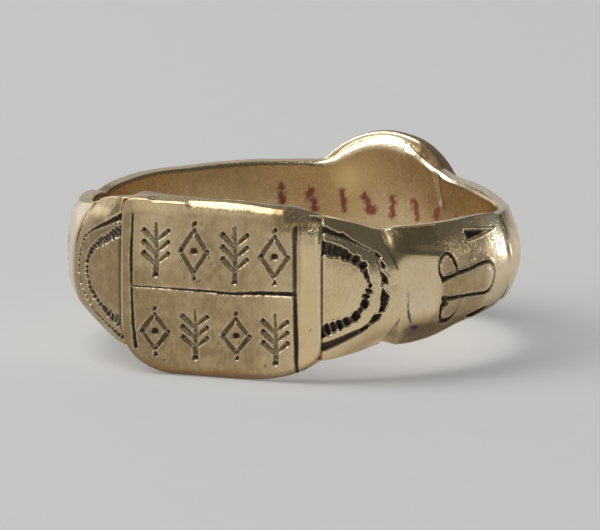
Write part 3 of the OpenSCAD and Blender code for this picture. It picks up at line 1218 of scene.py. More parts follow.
    def _punch(self, relief: Relief, row: PunchRow) -> None:
        """Sets the punch marks of one row, each a little out of line.

        Args:
            relief: Surface that takes the cuts.
            row: Run, spacing and size of the punch marks.
        """
        chance = np.random.default_rng(self.punch_seed)
        middle, widths = self._line(row.path)
        length = np.concatenate([[0.0], np.cumsum(np.hypot(*np.diff(middle, axis=0).T))])
        for at in np.arange(0.05, length[-1], row.pitch):
            spot = at + chance.uniform(-0.14, 0.14) * row.pitch
            width = float(np.interp(spot, length, widths)) * chance.uniform(0.85, 1.1)
            here, ahead = self._point(middle, length, spot), self._point(middle, length, spot + 0.1)
            along = (ahead - here) / max(float(np.hypot(*(ahead - here))), 1e-6)
            tilt = math.radians(row.lean + chance.uniform(-8.0, 8.0))
            aside = np.array([-along[1], along[0]])
            across = aside * math.cos(tilt) + along * math.sin(tilt)
            half = max(width / 2.0 - row.length / 2.0, 0.02)
            long = row.length * chance.uniform(1.0, 1.25)
            deep = row.depth * chance.uniform(0.85, 1.1)
            blow = Cut(deep, floor=0.35, lip=0.025, dirt=0.95, waver=0.2, rough=0.3)
            relief.stroke([here - across * half, here + across * half], long, blow)

    def _panel(self, relief: Relief) -> None:
        """Cuts the grooves of the panel.

        Args:
            relief: Surface that takes the cuts.
        """
        jagged = Cut(0.26, floor=0.15, lip=0.035, dirt=1.0, waver=0.42, rough=0.2)
        if self.side is Side.RIGHT:
            table = np.array(self.INNER_PITS)
            widths = table[:, 2] * (0.5 + 0.32 * eased(0.5, 1.1, np.abs(table[:, 1] + 0.25)))
            channel = Cut(0.2, floor=0.4, dirt=0.8, waver=0.35, rough=0.35)
            relief.stroke(self._flat(table[:, 0], table[:, 1]), widths, channel)
            self._dig(relief)
            relief.stroke(*self._line(self.OUTER_TOP), jagged)
            relief.stroke(*self._line(self.OUTER_FOOT), Cut(0.24, floor=0.35, lip=0.02, dirt=0.8, rough=0.1))
            steep = Cut(0.24, lip=0.03, dirt=0.97, rough=0.25)
            for corners in self.SIDE_PITS:
                relief.pit(self._flat(*np.array(corners).T), self.side_pit_slope, steep)
            return
        relief.stroke(*self._line(self.LEFT_OUTER_TOP), jagged)
        for rows, share in ((self.LEFT_INNER, 0.75), (self.LEFT_OUTER, 0.5)):
            path, widths = self._line(rows)
            relief.stroke(path, widths * share, Cut(0.13, floor=0.4, dirt=0.78, waver=0.3, rough=0.3))
        self._punch(relief, PunchRow(self.LEFT_OUTER, pitch=0.26, length=0.13, depth=0.18, lean=28.0))
        self._punch(relief, PunchRow(self.LEFT_INNER, pitch=0.24, length=0.16, depth=0.24, lean=22.0))

    def _lobe(self, relief: Relief) -> None:
        """Cuts the lobe's scroll and wedges, and the light scratches beside them.

        Args:
            relief: Surface that takes the cuts.
        """
        deep = Cut(0.17, floor=0.2, lip=0.04, dirt=0.92, waver=0.14, rough=0.16, taper=0.5)
        for rows in (self.UPPER_LEAF, self.STEM, self.LOWER_LEAF):
            relief.stroke(*self._line(rows), deep)
        steep = Cut(0.3, lip=0.05, dirt=0.9, waver=0.08, rough=0.1)
        relief.pit(self._flat(*np.array(self.WEDGE).T), self.wedge_slope, steep)
        lower = Cut(0.22, floor=0.1, lip=0.04, dirt=0.9, waver=0.1, rough=0.1)
        relief.stroke(*self._line(self.LOWER_WEDGE), lower)
        chance = np.random.default_rng(self.scratch_seed)
        for _ in range(self.scratches):
            angle, level = chance.uniform(69.0, 84.0), chance.uniform(0.1, 1.5)
            turns = np.array([angle, angle + chance.uniform(0.2, 0.9)])
            levels = np.array([level, level - chance.uniform(0.15, 0.5)])
            relief.stroke(self._flat(turns, levels), 0.06, Cut(0.014, dirt=0.0, lip=0.01))

    def _notches(
        self, angle: np.ndarray, level: np.ndarray, above: np.ndarray, below: np.ndarray
    ) -> tuple[np.ndarray, np.ndarray]:
        """Notches nicked into the rims where the panel meets the lobe.

        Args:
            angle: Angle of every point.
            level: Level of every point.
            above: Height of the upper rim over the middle plane.
            below: Depth of the lower rim under it.

        Returns:
            Depth of the notches, and the painted shadow line in their creases.
        """
        turn = np.abs(angle)
        depth, dirt = np.zeros_like(level), np.zeros_like(level)
        for crease, edge, tip, wide, deep in (
            (41.5, above, 0.85, 3.6, self.notch_depth),
            (42.2, -below, -1.35, 4.4, 0.9 * self.notch_depth),
        ):
            share = unit((level - tip) / (edge - tip))
            past = turn - crease - 3.2 * (1.0 - share) ** 1.4
            ramp = 1.0 - unit(past / (wide * share + 0.05))
            depth = np.maximum(depth, deep * share * np.where(past < 0.0, eased(-0.5, 0.0, past), ramp))
            dirt = np.maximum(dirt, eased(0.0, 0.06, share) * bell(past, -0.15, 0.26))
        return depth, dirt

    @staticmethod
    def _step(angle: np.ndarray, level: np.ndarray) -> np.ndarray:
        """How far the panel lies below the plate's side where the two meet.

        Args:
            angle: Signed angles of the points.
            level: Heights over the middle of the band.

        Returns:
            One depth for each point.
        """
        turn = np.abs(angle)
        side = (0.11 + 0.02 * np.maximum(level, 0.0)) * eased(26.8, 26.2, turn)
        return side + 0.2 * eased(26.2, 24.8, turn)

    def _shade_and_tarnish(self, angle: np.ndarray, level: np.ndarray) -> np.ndarray:
        """How far tarnish and painted shade darken each place, from 0 to 1: on the right, painted darker
        reflections on the lobe's middle, its lower slope and the slope above the blunt ridge; on the left,
        the panel beside the plate and its upper rim.

        Args:
            angle: Signed angles of the points.
            level: Heights over the middle of the band.

        Returns:
            One value for each point.
        """
        turn = np.abs(angle)
        facet = 57.9 - 6.0 * eased(-0.8, -2.1, level)
        middle = 0.75 * eased(facet - 0.8, facet + 1.4, turn) * eased(79.0, 74.0, turn)
        middle *= eased(1.5, 0.8, level)
        low = 0.85 * eased(-1.1, -2.0, level) * eased(42.0, 50.0, turn)
        if self.side is Side.RIGHT:
            crest = self._crest(turn)
            brow = 0.55 * eased(crest - 0.03, crest + 0.06, level)
            brow *= eased(44.2, 45.6, turn) * eased(59.0, 56.0, turn)
            return np.maximum(np.maximum(middle, low), brow)
        worn = np.maximum(eased(50.0, 44.0, turn) * eased(3.0, 2.4, level), 0.7 * eased(3.0, 3.3, level))
        return worn * eased(50.0, 44.0, turn)

    @staticmethod
    def _crest(turn: np.ndarray) -> np.ndarray:
        """Level of the blunt ridge between the lobe's face and the slope up to its rim."""
        return 1.63 - 0.032 * (turn - 45.1)

    def _brow(self, angle: np.ndarray, level: np.ndarray) -> np.ndarray:
        """How far the slope above the blunt ridge is filed back.

        Args:
            angle: Signed angles of the points.
            level: Heights over the middle of the band.

        Returns:
            One depth for each point.
        """
        crest = self._crest(angle)
        across = eased(43.9, 45.4, angle) * eased(59.5, 56.0, angle)
        return self.brow_fall * eased(crest, crest + 0.28, level) * across

    def _polish_and_highlight(self, angle: np.ndarray, level: np.ndarray) -> np.ndarray:
        """Where handling keeps the metal polished and where it is whitened as a painted highlight: on the
        right the lobe's highlight and the facet, on the left the lobe, and the raised edge at the pinch as
        well.

        Args:
            angle: Signed angles of the points.
            level: Heights over the middle of the band.

        Returns:
            One value from 0 to 1 for each point.
        """
        turn = np.abs(angle)
        if self.side is Side.RIGHT:
            facet = eased(44.5, 46.0, angle) * eased(57.0, 55.5, angle) * eased(-1.4, -0.9, level)
            shine = 0.6 * eased(75.0, 82.0, angle) * eased(-1.0, 0.0, level)
            shine = np.maximum(shine, 0.35 * facet * eased(1.4, 1.2, level))
        else:
            shine = 0.75 * eased(44.0, 50.0, turn) * eased(89.0, 76.0, turn) * eased(-2.2, -1.0, level)
            shine *= eased(3.2, 2.6, level)
        return np.maximum(shine, bell(turn - self.form.pinch_angle, -self.form.lip_back, 0.16))

    def _dirt_and_shade(self, angle: np.ndarray, level: np.ndarray, crease: np.ndarray) -> np.ndarray:
        """Dirt and painted shade held in the pinch, the creases, at the plate's sides and on the lower slope.

        Args:
            angle: Signed angles of the points.
            level: Heights over the middle of the band.
            crease: How far each point lies in a crease, from 0 to 1.

        Returns:
            One value for each point.
        """
        turn = np.abs(angle)
        held = np.maximum(0.8 * eased(-0.28, -0.08, turn - self.form.pinch_angle), 0.75 * crease)
        held = np.maximum(held, 0.55 * eased(26.75, 26.35, turn))
        return np.maximum(held, 0.5 * eased(-1.4, -2.0, level) * eased(43.0, 48.0, turn))

    def build(self) -> bpy.types.Object:
        """Builds the shoulder and dresses it.

        Returns:
            The shoulder as one closed piece.
        """
        form, sign = self.form, self.side.value
        run = HoopRun(form, tuple((sign * angle, count) for angle, count in self.stops))
        angle, r, level = run.lay_out()
        outside, _, lining, _ = run.spans
        skin, inner = run.only(outside), run.only(lining)
        skin_angle, skin_level = angle[:, outside], level[:, outside]
        relief = Relief(self._flat(skin_angle.ravel(), skin_level.ravel()), self.grain_seed + sign)
        self._panel(relief)
        self._lobe(relief)
        if self.side is Side.RIGHT:
            relief.smear(*self._line(self.INK_LINE), 0.8)
            relief.smear(*self._line(self.INK_BLOT), 0.95)
        above, below = form.section(angle[:, 0]).T[:2]
        notch, crease = self._notches(angle, level, above[:, None], below[:, None])
        r = run.worn(angle, r, level, inner) - notch * form.outward(r)
        r[:, outside] += relief.rise().reshape(skin_angle.shape) - self._step(skin_angle, skin_level)
        r[:, outside] -= self._brow(skin_angle, skin_level)
        # Tarnish and painted shade, with the notches painted darker as shade.
        tarnish_and_shade = np.maximum(self._shade_and_tarnish(angle, level), 0.7 * eased(0.0, 0.05, notch))
        # Painted warm shade on the lower slope of the lobe.
        warm = 0.6 * eased(-1.3, -2.0, level) * eased(46.0, 52.0, np.abs(angle))
        marks = {
            Mark.RESIDUE_AND_SHADE: self._dirt_and_shade(angle, level, crease) * skin,
            Mark.POLISH_AND_HIGHLIGHT: self._polish_and_highlight(angle, level) * skin,
            Mark.TARNISH_AND_SHADE: tarnish_and_shade * skin,
            Mark.WARM_SHADE: warm * skin,
            Mark.INSIDE: inner.astype(float),
            Mark.INK: np.zeros(angle.shape),
        }
        for mark, values in (
            (Mark.RESIDUE_AND_SHADE, relief.residue_and_shade),
            (Mark.POLISH_AND_HIGHLIGHT, relief.bright),
            (Mark.INK, relief.stain),
        ):
            marks[mark][:, outside] = np.maximum(marks[mark][:, outside], values.reshape(skin_angle.shape))
        name = "shoulder_right" if self.side is Side.RIGHT else "shoulder_left"
        return MetalPiece(name, self.finish).wrap(run, angle, r, level, marks)


@dataclass
class BackHoop:
    """The plain rear half of the hoop: two lobes that run up to the medallion's rim.

    Each row of the paint gives the angle, level, width, length and lean of one dab.
    """

    form: HoopForm
    finish: bpy.types.Material
    stops: tuple[tuple[float, int], ...] = (
        (90.2, 0), (93.2, 34), (150.0, 148), (195.0, 140), (266.8, 126), (269.8, 34),
    )
    skin_points: int = 100
    wall_points: int = 70
    paint_seed: int = 41
    caustic_at: tuple[float, float] = (184.5, 2.0)
    caustic_half: tuple[float, float] = (4.5, 0.8)
    PAINT: Path = (
        (204.0, 1.1, 0.44, 0.85, 4.0), (195.2, 0.92, 0.56, 0.8, 20.0), (186.0, 0.84, 0.42, 0.9, 6.0),
        (178.4, 0.84, 0.6, 0.7, 24.0), (170.4, 0.76, 0.44, 0.9, -5.0), (162.6, 0.7, 0.42, 0.85, 9.0),
        (154.6, 0.68, 0.5, 0.45, -30.0), (145.5, 0.68, 0.4, 0.3, 35.0),
    )

    def _along(self, angle: Union[float, np.ndarray]) -> Union[float, np.ndarray]:
        """Length along the inner wall at an angle."""
        return angle * math.pi / HALF_TURN * self.form.bore_r

    def _paint(self, angle: np.ndarray, level: np.ndarray) -> np.ndarray:
        """Worn dabs of red paint in a row on the inner wall.

        Args:
            angle: Angles of the points, which run on past 180.
            level: Heights over the middle of the band.

        Returns:
            One value from 0 to 1 for each point.
        """
        flat = np.stack([self._along(angle).ravel(), level.ravel()], axis=-1)
        relief = Relief(flat, self.paint_seed)
        for turn, height, width, length, lean in self.PAINT:
            middle = np.array([self._along(turn), height])
            tilt = math.radians(lean)
            away = np.array([math.sin(tilt), math.cos(tilt)]) * length / 2.0
            relief.smear([middle - away, middle + away], width, 0.95)
        return relief.stain.reshape(angle.shape)

    def _painted_caustic(self, angle: np.ndarray, level: np.ndarray) -> np.ndarray:
        """Painted caustic: a patch of reflected light on the inner wall, painted yellower and lighter.

        Args:
            angle: Angles of the points, which run on past 180.
            level: Heights over the middle of the band.

        Returns:
            One value from 0 to 1 for each point.
        """
        turn, height = self.caustic_at
        wide, tall = self.caustic_half
        return np.exp(-(((angle - turn) / wide) ** 2) - ((level - height) / tall) ** 2)

    def _dress(
        self, angle: np.ndarray, level: np.ndarray, spots: np.ndarray, inner: np.ndarray, rim: np.ndarray
    ) -> dict[Mark, np.ndarray]:
        """What each point of the rear run carries for the finish: paint dabs, and painted shade, painted
        highlights and a painted caustic.

        Args:
            angle: Angle of every point, columns by loop points.
            level: Level of every point.
            spots: Place of every point.
            inner: True where a point belongs to the lining.
            rim: True where a point belongs to a rim.

        Returns:
            Marks, laid out as the angles.
        """
        # A painted caustic on the lining.
        caustic = self._painted_caustic(angle, level)
        left, arch = eased(186.0, 196.0, angle), eased(156.0, 162.0, angle)
        right = eased(181.0, 179.0, angle)
        past = np.minimum(angle, FULL_TURN - angle) - self.form.pinch_angle
        clouds = Hammering(seed=61, pitch=2.4).at(spots)
        ragged = Hammering(seed=62, pitch=0.35).at(spots)
        reach = 1.9 + 0.9 * right + (0.4 + 1.1 * right) * eased(0.2, -1.2, level)
        reach += (0.3 + 0.4 * right) * ragged
        # Painted shade and tarnish on the lining: darker away from the medallion and towards the top, lighter
        # low down.
        lining = 0.22 + 0.3 * eased(9.0, 17.0, np.abs(angle - 172.0)) + 0.32 * clouds
        lining += 0.3 * eased(2.0, 3.2, level) * (1.0 - left)
        lining = (lining - 0.25 * eased(1.4, 0.4, level)) * (1.0 - caustic) * inner
        # Painted shade beside the pinch on the upper half of the outside.
        tarnish_and_shade = 0.7 * eased(9.0, 3.0, past) * eased(0.2, 1.2, level) * ~inner + lining
        return {
            # Painted shade in and beside the groove at the pinch.
            Mark.RESIDUE_AND_SHADE: (0.5 + 0.3 * right) * eased(0.0, -1.3, past - reach) * ~inner,
            # Rims whitened as painted highlights, except on the left.
            Mark.POLISH_AND_HIGHLIGHT: (0.75 - 0.15 * arch) * rim * (1.0 - left),
            # The left rims are painted a little darker, and take part of the painted inner shade.
            Mark.TARNISH_AND_SHADE: tarnish_and_shade + 0.12 * left * rim,
            Mark.INSIDE: np.where(inner, 1.0, 0.45 * left * rim),
            Mark.PAINT: np.where(inner, self._paint(angle, level), 0.0),
            Mark.PAINTED_CAUSTIC: caustic * inner,
        }

    def build(self) -> bpy.types.Object:
        """Builds the rear of the hoop and dresses it.

        Returns:
            The rear run as one closed piece.
        """
        run = HoopRun(self.form, self.stops, skin_points=self.skin_points, wall_points=self.wall_points)
        angle, r, level = run.lay_out()
        _, upper_rim, lining, lower_rim = run.spans
        inner = run.only(lining)
        r = run.worn(angle, r, level, inner)
        spots = self.form.place(angle, r, level)
        marks = self._dress(angle, level, spots, inner, run.only(upper_rim, lower_rim))
        return MetalPiece("back_hoop", self.finish).wrap(run, angle, r, level, marks)


@dataclass
class BezelPlate:
    """The upright plate at the front, with its frame lines and two rows of cut ornament.

    Corners give their width and height, rounds and the bevel their run and fall. Each row of a frame
    line gives its distance from the line's x, its level and its width, and each row of the worn corner
    a distance from the right side and how far the outline drops there.
    """

    form: HoopForm
    finish: bpy.types.Material
    width: float = 9.9
    height: float = 8.35
    wall: float = 0.75
    dome: float = 0.2
    rear: float = 8.6
    side_bow: float = 0.06
    columns: int = 216
    rows: int = 190
    column_packing: float = 0.25
    row_packing: float = 0.45
    seat: float = 0.03
    worn: float = 0.014
    edge_waver: float = 0.12
    grain_seed: int = 11
    cut_seed: int = 23
    knocks: int = 40
    scratches: int = 30
    line_left: float = -4.33
    line_right: float = 3.72
    LEFT_LINE: Path = (
        (0.04, 3.3, 0.1), (-0.03, 1.4, 0.18), (0.0, -0.1, 0.13), (0.04, -1.7, 0.16), (0.16, -2.9, 0.2),
    )
    RIGHT_TOP: Path = ((-0.03, 3.1, 0.24), (0.0, 0.2, 0.22))
    RIGHT_FOOT: Path = ((0.0, 0.1, 0.24), (0.04, -2.2, 0.3), (0.0, -4.1, 0.16))
    cell_centres: tuple[float, ...] = (-3.15, -1.2, 0.8, 2.72)
    ornament_rows: tuple[tuple[float, float], ...] = ((1.76, 1.26), (-2.1, 1.12))
    half_wide: float = 0.66
    upper_left: tuple[float, float] = (0.7, 0.6)
    WORN_CORNER: Path = (
        (0.0, 0.9), (0.1, 0.65), (0.2, 0.56), (0.6, 0.46), (1.0, 0.34), (1.4, 0.245), (1.9, 0.185),
        (2.8, 0.12), (3.7, 0.04), (4.7, 0.0),
    )
    lower_left: tuple[float, float] = (2.6, 1.85)
    lower_right: tuple[float, float] = (3.9, 1.7)
    side_round: tuple[float, float] = (0.16, 0.14)
    upper_round: tuple[float, float] = (0.54, 0.25)
    upper_bevel: tuple[float, float] = (0.1, 0.3)
    lower_round: tuple[float, float] = (0.6, 0.36)

    @property
    def half_flat(self) -> float:
        """Half the plate's width where its sides reach the foot and the head."""
        return self.width / 2.0 - self.side_bow

    def _half_width(self, z: np.ndarray, side: Side) -> np.ndarray:
        """Distance of the plate's side from its middle at heights above the foot.

        Args:
            z: Heights over the foot.
            side: The side that is asked for.

        Returns:
            One distance for each height.
        """
        middle = self.height / 2.0
        bow = self.side_bow * (1.0 - ((z - middle) / middle) ** 2)
        low = self.lower_right if side is Side.RIGHT else self.lower_left
        inset = low[0] * rounded(unit(1.0 - z / low[1]))
        if side is Side.LEFT:
            head = unit(1.0 - (self.height - z) / self.upper_left[1])
            return self.half_flat + bow - inset - self.upper_left[0] * rounded(head)
        away, drop = np.array(self.WORN_CORNER).T
        inset += np.interp(self.height - z, drop[::-1], away[::-1])
        return self.half_flat + bow - inset

    @staticmethod
    def _packed(count: int, packing: float) -> np.ndarray:
        """Shares from 0 to 1 that the packing draws together towards both ends."""
        share = np.linspace(0.0, 1.0, count)
        return (1.0 - packing) * share + packing * (0.5 - 0.5 * np.cos(math.pi * share))

    def _grid(self) -> tuple[np.ndarray, np.ndarray]:
        """X and height of each point of the face, rows by columns.

        Returns:
            Two arrays of the same size.
        """
        z = self.height * self._packed(self.rows, self.row_packing)
        share = self._packed(self.columns, self.column_packing)
        left, right = -self._half_width(z, Side.LEFT), self._half_width(z, Side.RIGHT)
        x = left[:, None] + (right - left)[:, None] * share[None, :]
        return x, np.repeat(z[:, None], self.columns, axis=1)

    def _corner_rise(self, x: np.ndarray, radii: tuple[float, float]) -> np.ndarray:
        """How far the outline has climbed towards a side at distances from the plate's middle."""
        return radii[1] * rounded(unit((np.abs(x) - (self.half_flat - radii[0])) / radii[0]))

    @staticmethod
    def _rounding(away: np.ndarray, run: float, depth: Union[float, np.ndarray]) -> np.ndarray:
        """Fall of an edge that is worn round over a run, at distances from it."""
        return depth * rounded(unit(1.0 - away / run))

    def _edges(self, x: np.ndarray, z: np.ndarray) -> tuple[np.ndarray, np.ndarray]:
        """Distance of each place from the outline, and how far the worn edges let it fall back.

        Args:
            x: X of each place.
            z: Height of each place.

        Returns:
            Distances and falls, laid out as the places.
        """
        left = x < 0.0
        low = np.where(left, self._corner_rise(x, self.lower_left), self._corner_rise(x, self.lower_right))
        worn = np.interp(self.half_flat - x, *np.array(self.WORN_CORNER).T)
        high = np.where(left, self._corner_rise(x, self.upper_left), worn)
        above, below = self.height - high - z, z - low
        half = np.where(left, self._half_width(z, Side.LEFT), self._half_width(z, Side.RIGHT))
        beside = half - np.abs(x)
        ragged = 1.0 + self.edge_waver * Hammering(seed=44, pitch=0.7).at(np.stack([x, z], axis=-1))
        end = np.maximum(eased(-3.2, -3.7, x), eased(2.75, 3.3, x))
        run = self.upper_round[0] - 0.26 * eased(-1.4, -1.8, x) - 0.13 * eased(-3.2, -3.7, x)
        depth = self.upper_round[1] * (1.0 - 0.7 * end)
        fall = depth * unit((run - above * ragged) / (run - 0.1)) ** 2
        fall += self.upper_bevel[1] * unit(1.0 - above / self.upper_bevel[0])
        foot_run, foot_depth = self.lower_round
        fall += self._rounding(below, foot_run, foot_depth * (1.0 + 0.3 * eased(0.0, -3.0, x)))
        fall += self._rounding(beside, *self.side_round)
        return np.minimum(np.minimum(above, below), beside), fall

    @staticmethod
    def _graver(dirt: float = 0.5) -> Cut:
        """The cut of a broad graver, with a flat floor and a slight burr."""
        return Cut(0.16, floor=0.38, lip=0.026, dirt=dirt, waver=0.16, rough=0.14)

    def _lozenge(self, relief: Relief, x: float, level: float, half_tall: float) -> None:
        """Cuts a lozenge with a dot in it and a tick above and below.

        Args:
            relief: Surface that takes the cuts.
            x: Middle of the figure across the face.
            level: Height of its middle.
            half_tall: Half of its height.
        """
        w, h = self.half_wide, half_tall * 0.76
        corners = ((x, level + h), (x + w, level), (x, level - h), (x - w, level))
        for number, corner in enumerate(corners):
            following = corners[(number + 1) % 4]
            thick = 0.27 if number % 2 else 0.2
            relief.stroke([corner, following], (thick, thick * 0.74), self._graver())
            relief.stroke([corner, (corner[0] + 0.01, corner[1])], thick * 0.8, self._graver(0.85))
        dot = Cut(0.17, floor=0.3, dirt=0.85, waver=0.2)
        relief.stroke([(x - 0.03, level), (x + 0.03, level)], 0.36, dot)
        for end in (1.0, -1.0):
            tick = [(x, level + end * (h + 0.2)), (x + 0.02, level + end * half_tall)]
            relief.stroke(tick, (0.15, 0.24), self._graver(0.6))

    def _sprig(self, relief: Relief, x: float, level: float, half_tall: float) -> None:
        """Cuts an upright sprig with slanting leaves on both sides.

        Args:
            relief: Surface that takes the cuts.
            x: Middle of the figure across the face.
            level: Height of its middle.
            half_tall: Half of its height.
        """
        stem = [(x, level - half_tall), (x + 0.04, level), (x, level + half_tall)]
        relief.stroke(stem, (0.3, 0.23, 0.15), self._graver())
        relief.stroke([(x - 0.06, level - half_tall), (x + 0.06, level - half_tall)], 0.2, self._graver(0.85))
        for step in (-0.56, -0.12, 0.32):
            for end in (1.0, -1.0):
                foot = (x + 0.05 * end, level + step * half_tall)
                tip = (x + end * self.half_wide * 0.9, level + (step + 0.4) * half_tall)
                relief.stroke([foot, tip], (0.16, 0.27), self._graver())
                relief.stroke([tip, (tip[0], tip[1] + 0.02)], 0.2, self._graver(0.85))

    def _frame(self, relief: Relief) -> None:
        """Cuts the frame lines at both sides and the line between the two rows.

        Args:
            relief: Surface that takes the cuts.
        """
        left, right = self.line_left, self.line_right
        line = Cut(0.18, floor=0.2, lip=0.026, dirt=0.88, waver=0.16, rough=0.1)
        faint = Cut(0.17, floor=0.4, lip=0.024, dirt=0.62, waver=0.12, rough=0.1)
        for x, rows, cut in (
            (left, self.LEFT_LINE, line),
            (right, self.RIGHT_TOP, faint),
            (right, self.RIGHT_FOOT, line),
        ):
            table = np.array(rows)
            relief.stroke(table[:, :2] + (x, 0.0), table[:, 2], cut)
        relief.stroke(
            [(left + 0.03, -0.03), (-2.6, -0.04), (-1.0, -0.05), (0.6, -0.11), (2.0, 0.0), (right, 0.05)],
            (0.1, 0.1, 0.12, 0.16, 0.22, 0.28),
            Cut(0.2, floor=0.2, lip=0.045, dirt=0.97, waver=0.2, rough=0.12),
        )

    def _engrave(self, relief: Relief) -> None:
        """Cuts the ornament of the two rows, and a few knocks and scratches.

        Args:
            relief: Surface that takes the cuts.
        """
        chance = np.random.default_rng(self.cut_seed)
        for row, (level, half_tall) in enumerate(self.ornament_rows):
            for column, x in enumerate(self.cell_centres):
                draw = self._lozenge if (row + column) % 2 else self._sprig
                jog = chance.uniform(-0.06, 0.06, 2)
                draw(relief, x + jog[0], level + jog[1], half_tall * chance.uniform(0.94, 1.04))
        for _ in range(self.knocks):
            x, z = chance.uniform(-4.4, 4.6), chance.uniform(-3.6, 3.5)
            size, turn = chance.uniform(0.05, 0.1), chance.uniform(0.0, math.pi)
            along = np.array([math.cos(turn), math.sin(turn)]) * size * chance.uniform(0.2, 1.8)
            relief.stroke([(x, z), (x + along[0], z + along[1])], size, Cut(0.04, dirt=0.6))
        for _ in range(self.scratches):
            x, z = chance.uniform(-4.0, 4.4), chance.uniform(-3.6, 2.8)
            long, lean = chance.uniform(0.4, 1.6), chance.uniform(-0.3, 0.2)
            relief.stroke([(x, z), (x + lean * long, z + long)], 0.05, Cut(0.012, dirt=0.14, lip=0.009))

    def _stains(self, x: np.ndarray, level: np.ndarray, away: np.ndarray) -> dict[Mark, np.ndarray]:
        """Where tarnish and painted shade darken the face, and where dirt and painted warm shade lie along
        the foot and the left edge.

        Args:
            x: Places across the face.
            level: Heights over the face's middle.
            away: Distance from the nearest edge.

        Returns:
            Values of the three marks, one for each point.
        """
        # Tarnish and painted shade: the face is painted lighter or darker region by region, and the upper
        # right corner is painted as a darker reflection.
        tarnish_and_shade = 0.86 + 0.14 * Hammering(seed=52, pitch=2.2).at(np.stack([x, level], axis=-1))
        tarnish_and_shade += 0.3 * eased(0.5, -3.6, x) * eased(1.0, -3.0, level)
        tarnish_and_shade -= 0.35 * eased(-1.6, -3.4, x) * eased(0.2, 2.0, level)
        tarnish_and_shade -= 0.48 * eased(0.8, 3.2, x) * eased(3.6, 2.4, level) * (1.0 - 0.55 * eased(-0.2, 1.4, level))
        tarnish_and_shade -= 0.62 * eased(self.line_right + 0.1, self.line_right + 0.5, x)
        tarnish_and_shade += 0.3 * eased(self.line_left + 0.2, self.line_left - 0.1, x)
        tarnish_and_shade -= 0.35 * eased(3.35, 3.7, level) * eased(3.4, 2.4, x)
        shade = eased(2.2, 3.2, x) * eased(2.75, 3.3, level)
        tarnish_and_shade = unit(tarnish_and_shade + 0.8 * shade) * (1.0 - eased(-3.0, -3.9, x) * eased(3.9, 4.1, level))
        # Dirt and painted shade: at the lower left, in the upper right corner, where it stands for a darker
        # reflection, and along the foot.
        held = 0.34 * eased(-1.5, -3.8, x) * eased(-0.8, -3.0, level)
        held = np.maximum(held, 0.58 * eased(2.8, 3.2, x) * eased(3.0, 3.5, level) * eased(4.3, 4.0, level))
        held = np.maximum(held, 0.36 * eased(0.5, 0.2, away) * eased(-2.6, -3.6, level))
        # Painted warm shade along the lower edges and the foot, the ring's shadow seen in them.
        warm = eased(0.62, 0.15, away) * eased(-1.6, -3.0, level) * eased(3.4, 0.5, x)
        warm = np.maximum(warm, 0.8 * eased(0.3, 0.05, away) * eased(-2.4, -3.4, level))
        return {Mark.TARNISH_AND_SHADE: tarnish_and_shade, Mark.WARM_SHADE: warm, Mark.RESIDUE_AND_SHADE: held}

    def _curve(self, x: np.ndarray, level: np.ndarray) -> np.ndarray:
        """How far the face falls back from its middle: its dome, both margins and the worn corner.

        Args:
            x: Places across the face.
            level: Heights over the face's middle.

        Returns:
            One depth for each point.
        """
        dome_r = ((self.height / 2.0) ** 2 + self.dome**2) / (2.0 * self.dome)
        fall = dome_r - np.sqrt(dome_r**2 - level**2)
        fall += 0.14 * eased(self.line_right - 0.1, self.width / 2.0 + 0.5, x)
        fall += 0.13 * eased(self.line_left + 0.15, -self.width / 2.0 - 0.2, x)
        return fall + 0.52 * eased(2.5, 4.7, x) * eased(2.4, 4.2, level)

    def _faces(self) -> list[list[int]]:
        """Quads of the face, of the back and of the rim between them.

        Returns:
            Corner numbers of each face.
        """
        count = self.rows * self.columns
        grid = np.arange(count).reshape(self.rows, self.columns)
        a, b, c, d = (part.ravel() for part in (grid[:-1, :-1], grid[:-1, 1:], grid[1:, 1:], grid[1:, :-1]))
        front, back = np.stack([a, b, c, d], axis=-1), np.stack([d, c, b, a], axis=-1) + count
        rim = np.concatenate([grid[0, :-1], grid[:-1, -1], grid[-1, :0:-1], grid[:0:-1, 0]])
        after = np.roll(rim, -1)
        edge = np.stack([after, rim, rim + count, after + count], axis=-1)
        return np.concatenate([front, back, edge]).tolist()

    def build(self) -> bpy.types.Object:
        """Builds the plate and dresses it.

        Returns:
            The plate as one closed piece.
        """
        x, z = self._grid()
        level = z - self.height / 2.0
        away, fall = self._edges(x, z)
        fall = fall + self._curve(x, level)
        flat = np.stack([x, level], axis=-1)
        relief = Relief(flat.reshape(-1, 2), self.grain_seed)
        self._frame(relief)
        self._engrave(relief)
        front = self.form.bore_r + self.wall
        bore = np.sqrt(np.clip(self.form.bore_r**2 - x**2, self.rear**2, None))
        places = np.stack([x, -np.maximum(front - fall, bore + self.seat), z], axis=-1)
        wear, small = Hammering(seed=6, pitch=2.7).at(flat), Hammering(seed=7, pitch=0.8).at(flat)
        places[..., 1] += (self.worn - self.worn * wear - 0.005 * small) * eased(0.0, 0.25, away)
        places[..., 1] -= relief.rise().reshape(x.shape) * eased(0.0, 0.12, away)
        sunk = 0.42 * eased(3.4, 4.6, x) * eased(5.0, 8.0, z)
        back = np.stack([x, -bore, z - sunk], axis=-1)
        points = np.concatenate([places.reshape(-1, 3), back.reshape(-1, 3)])
        blank = np.zeros(x.size)
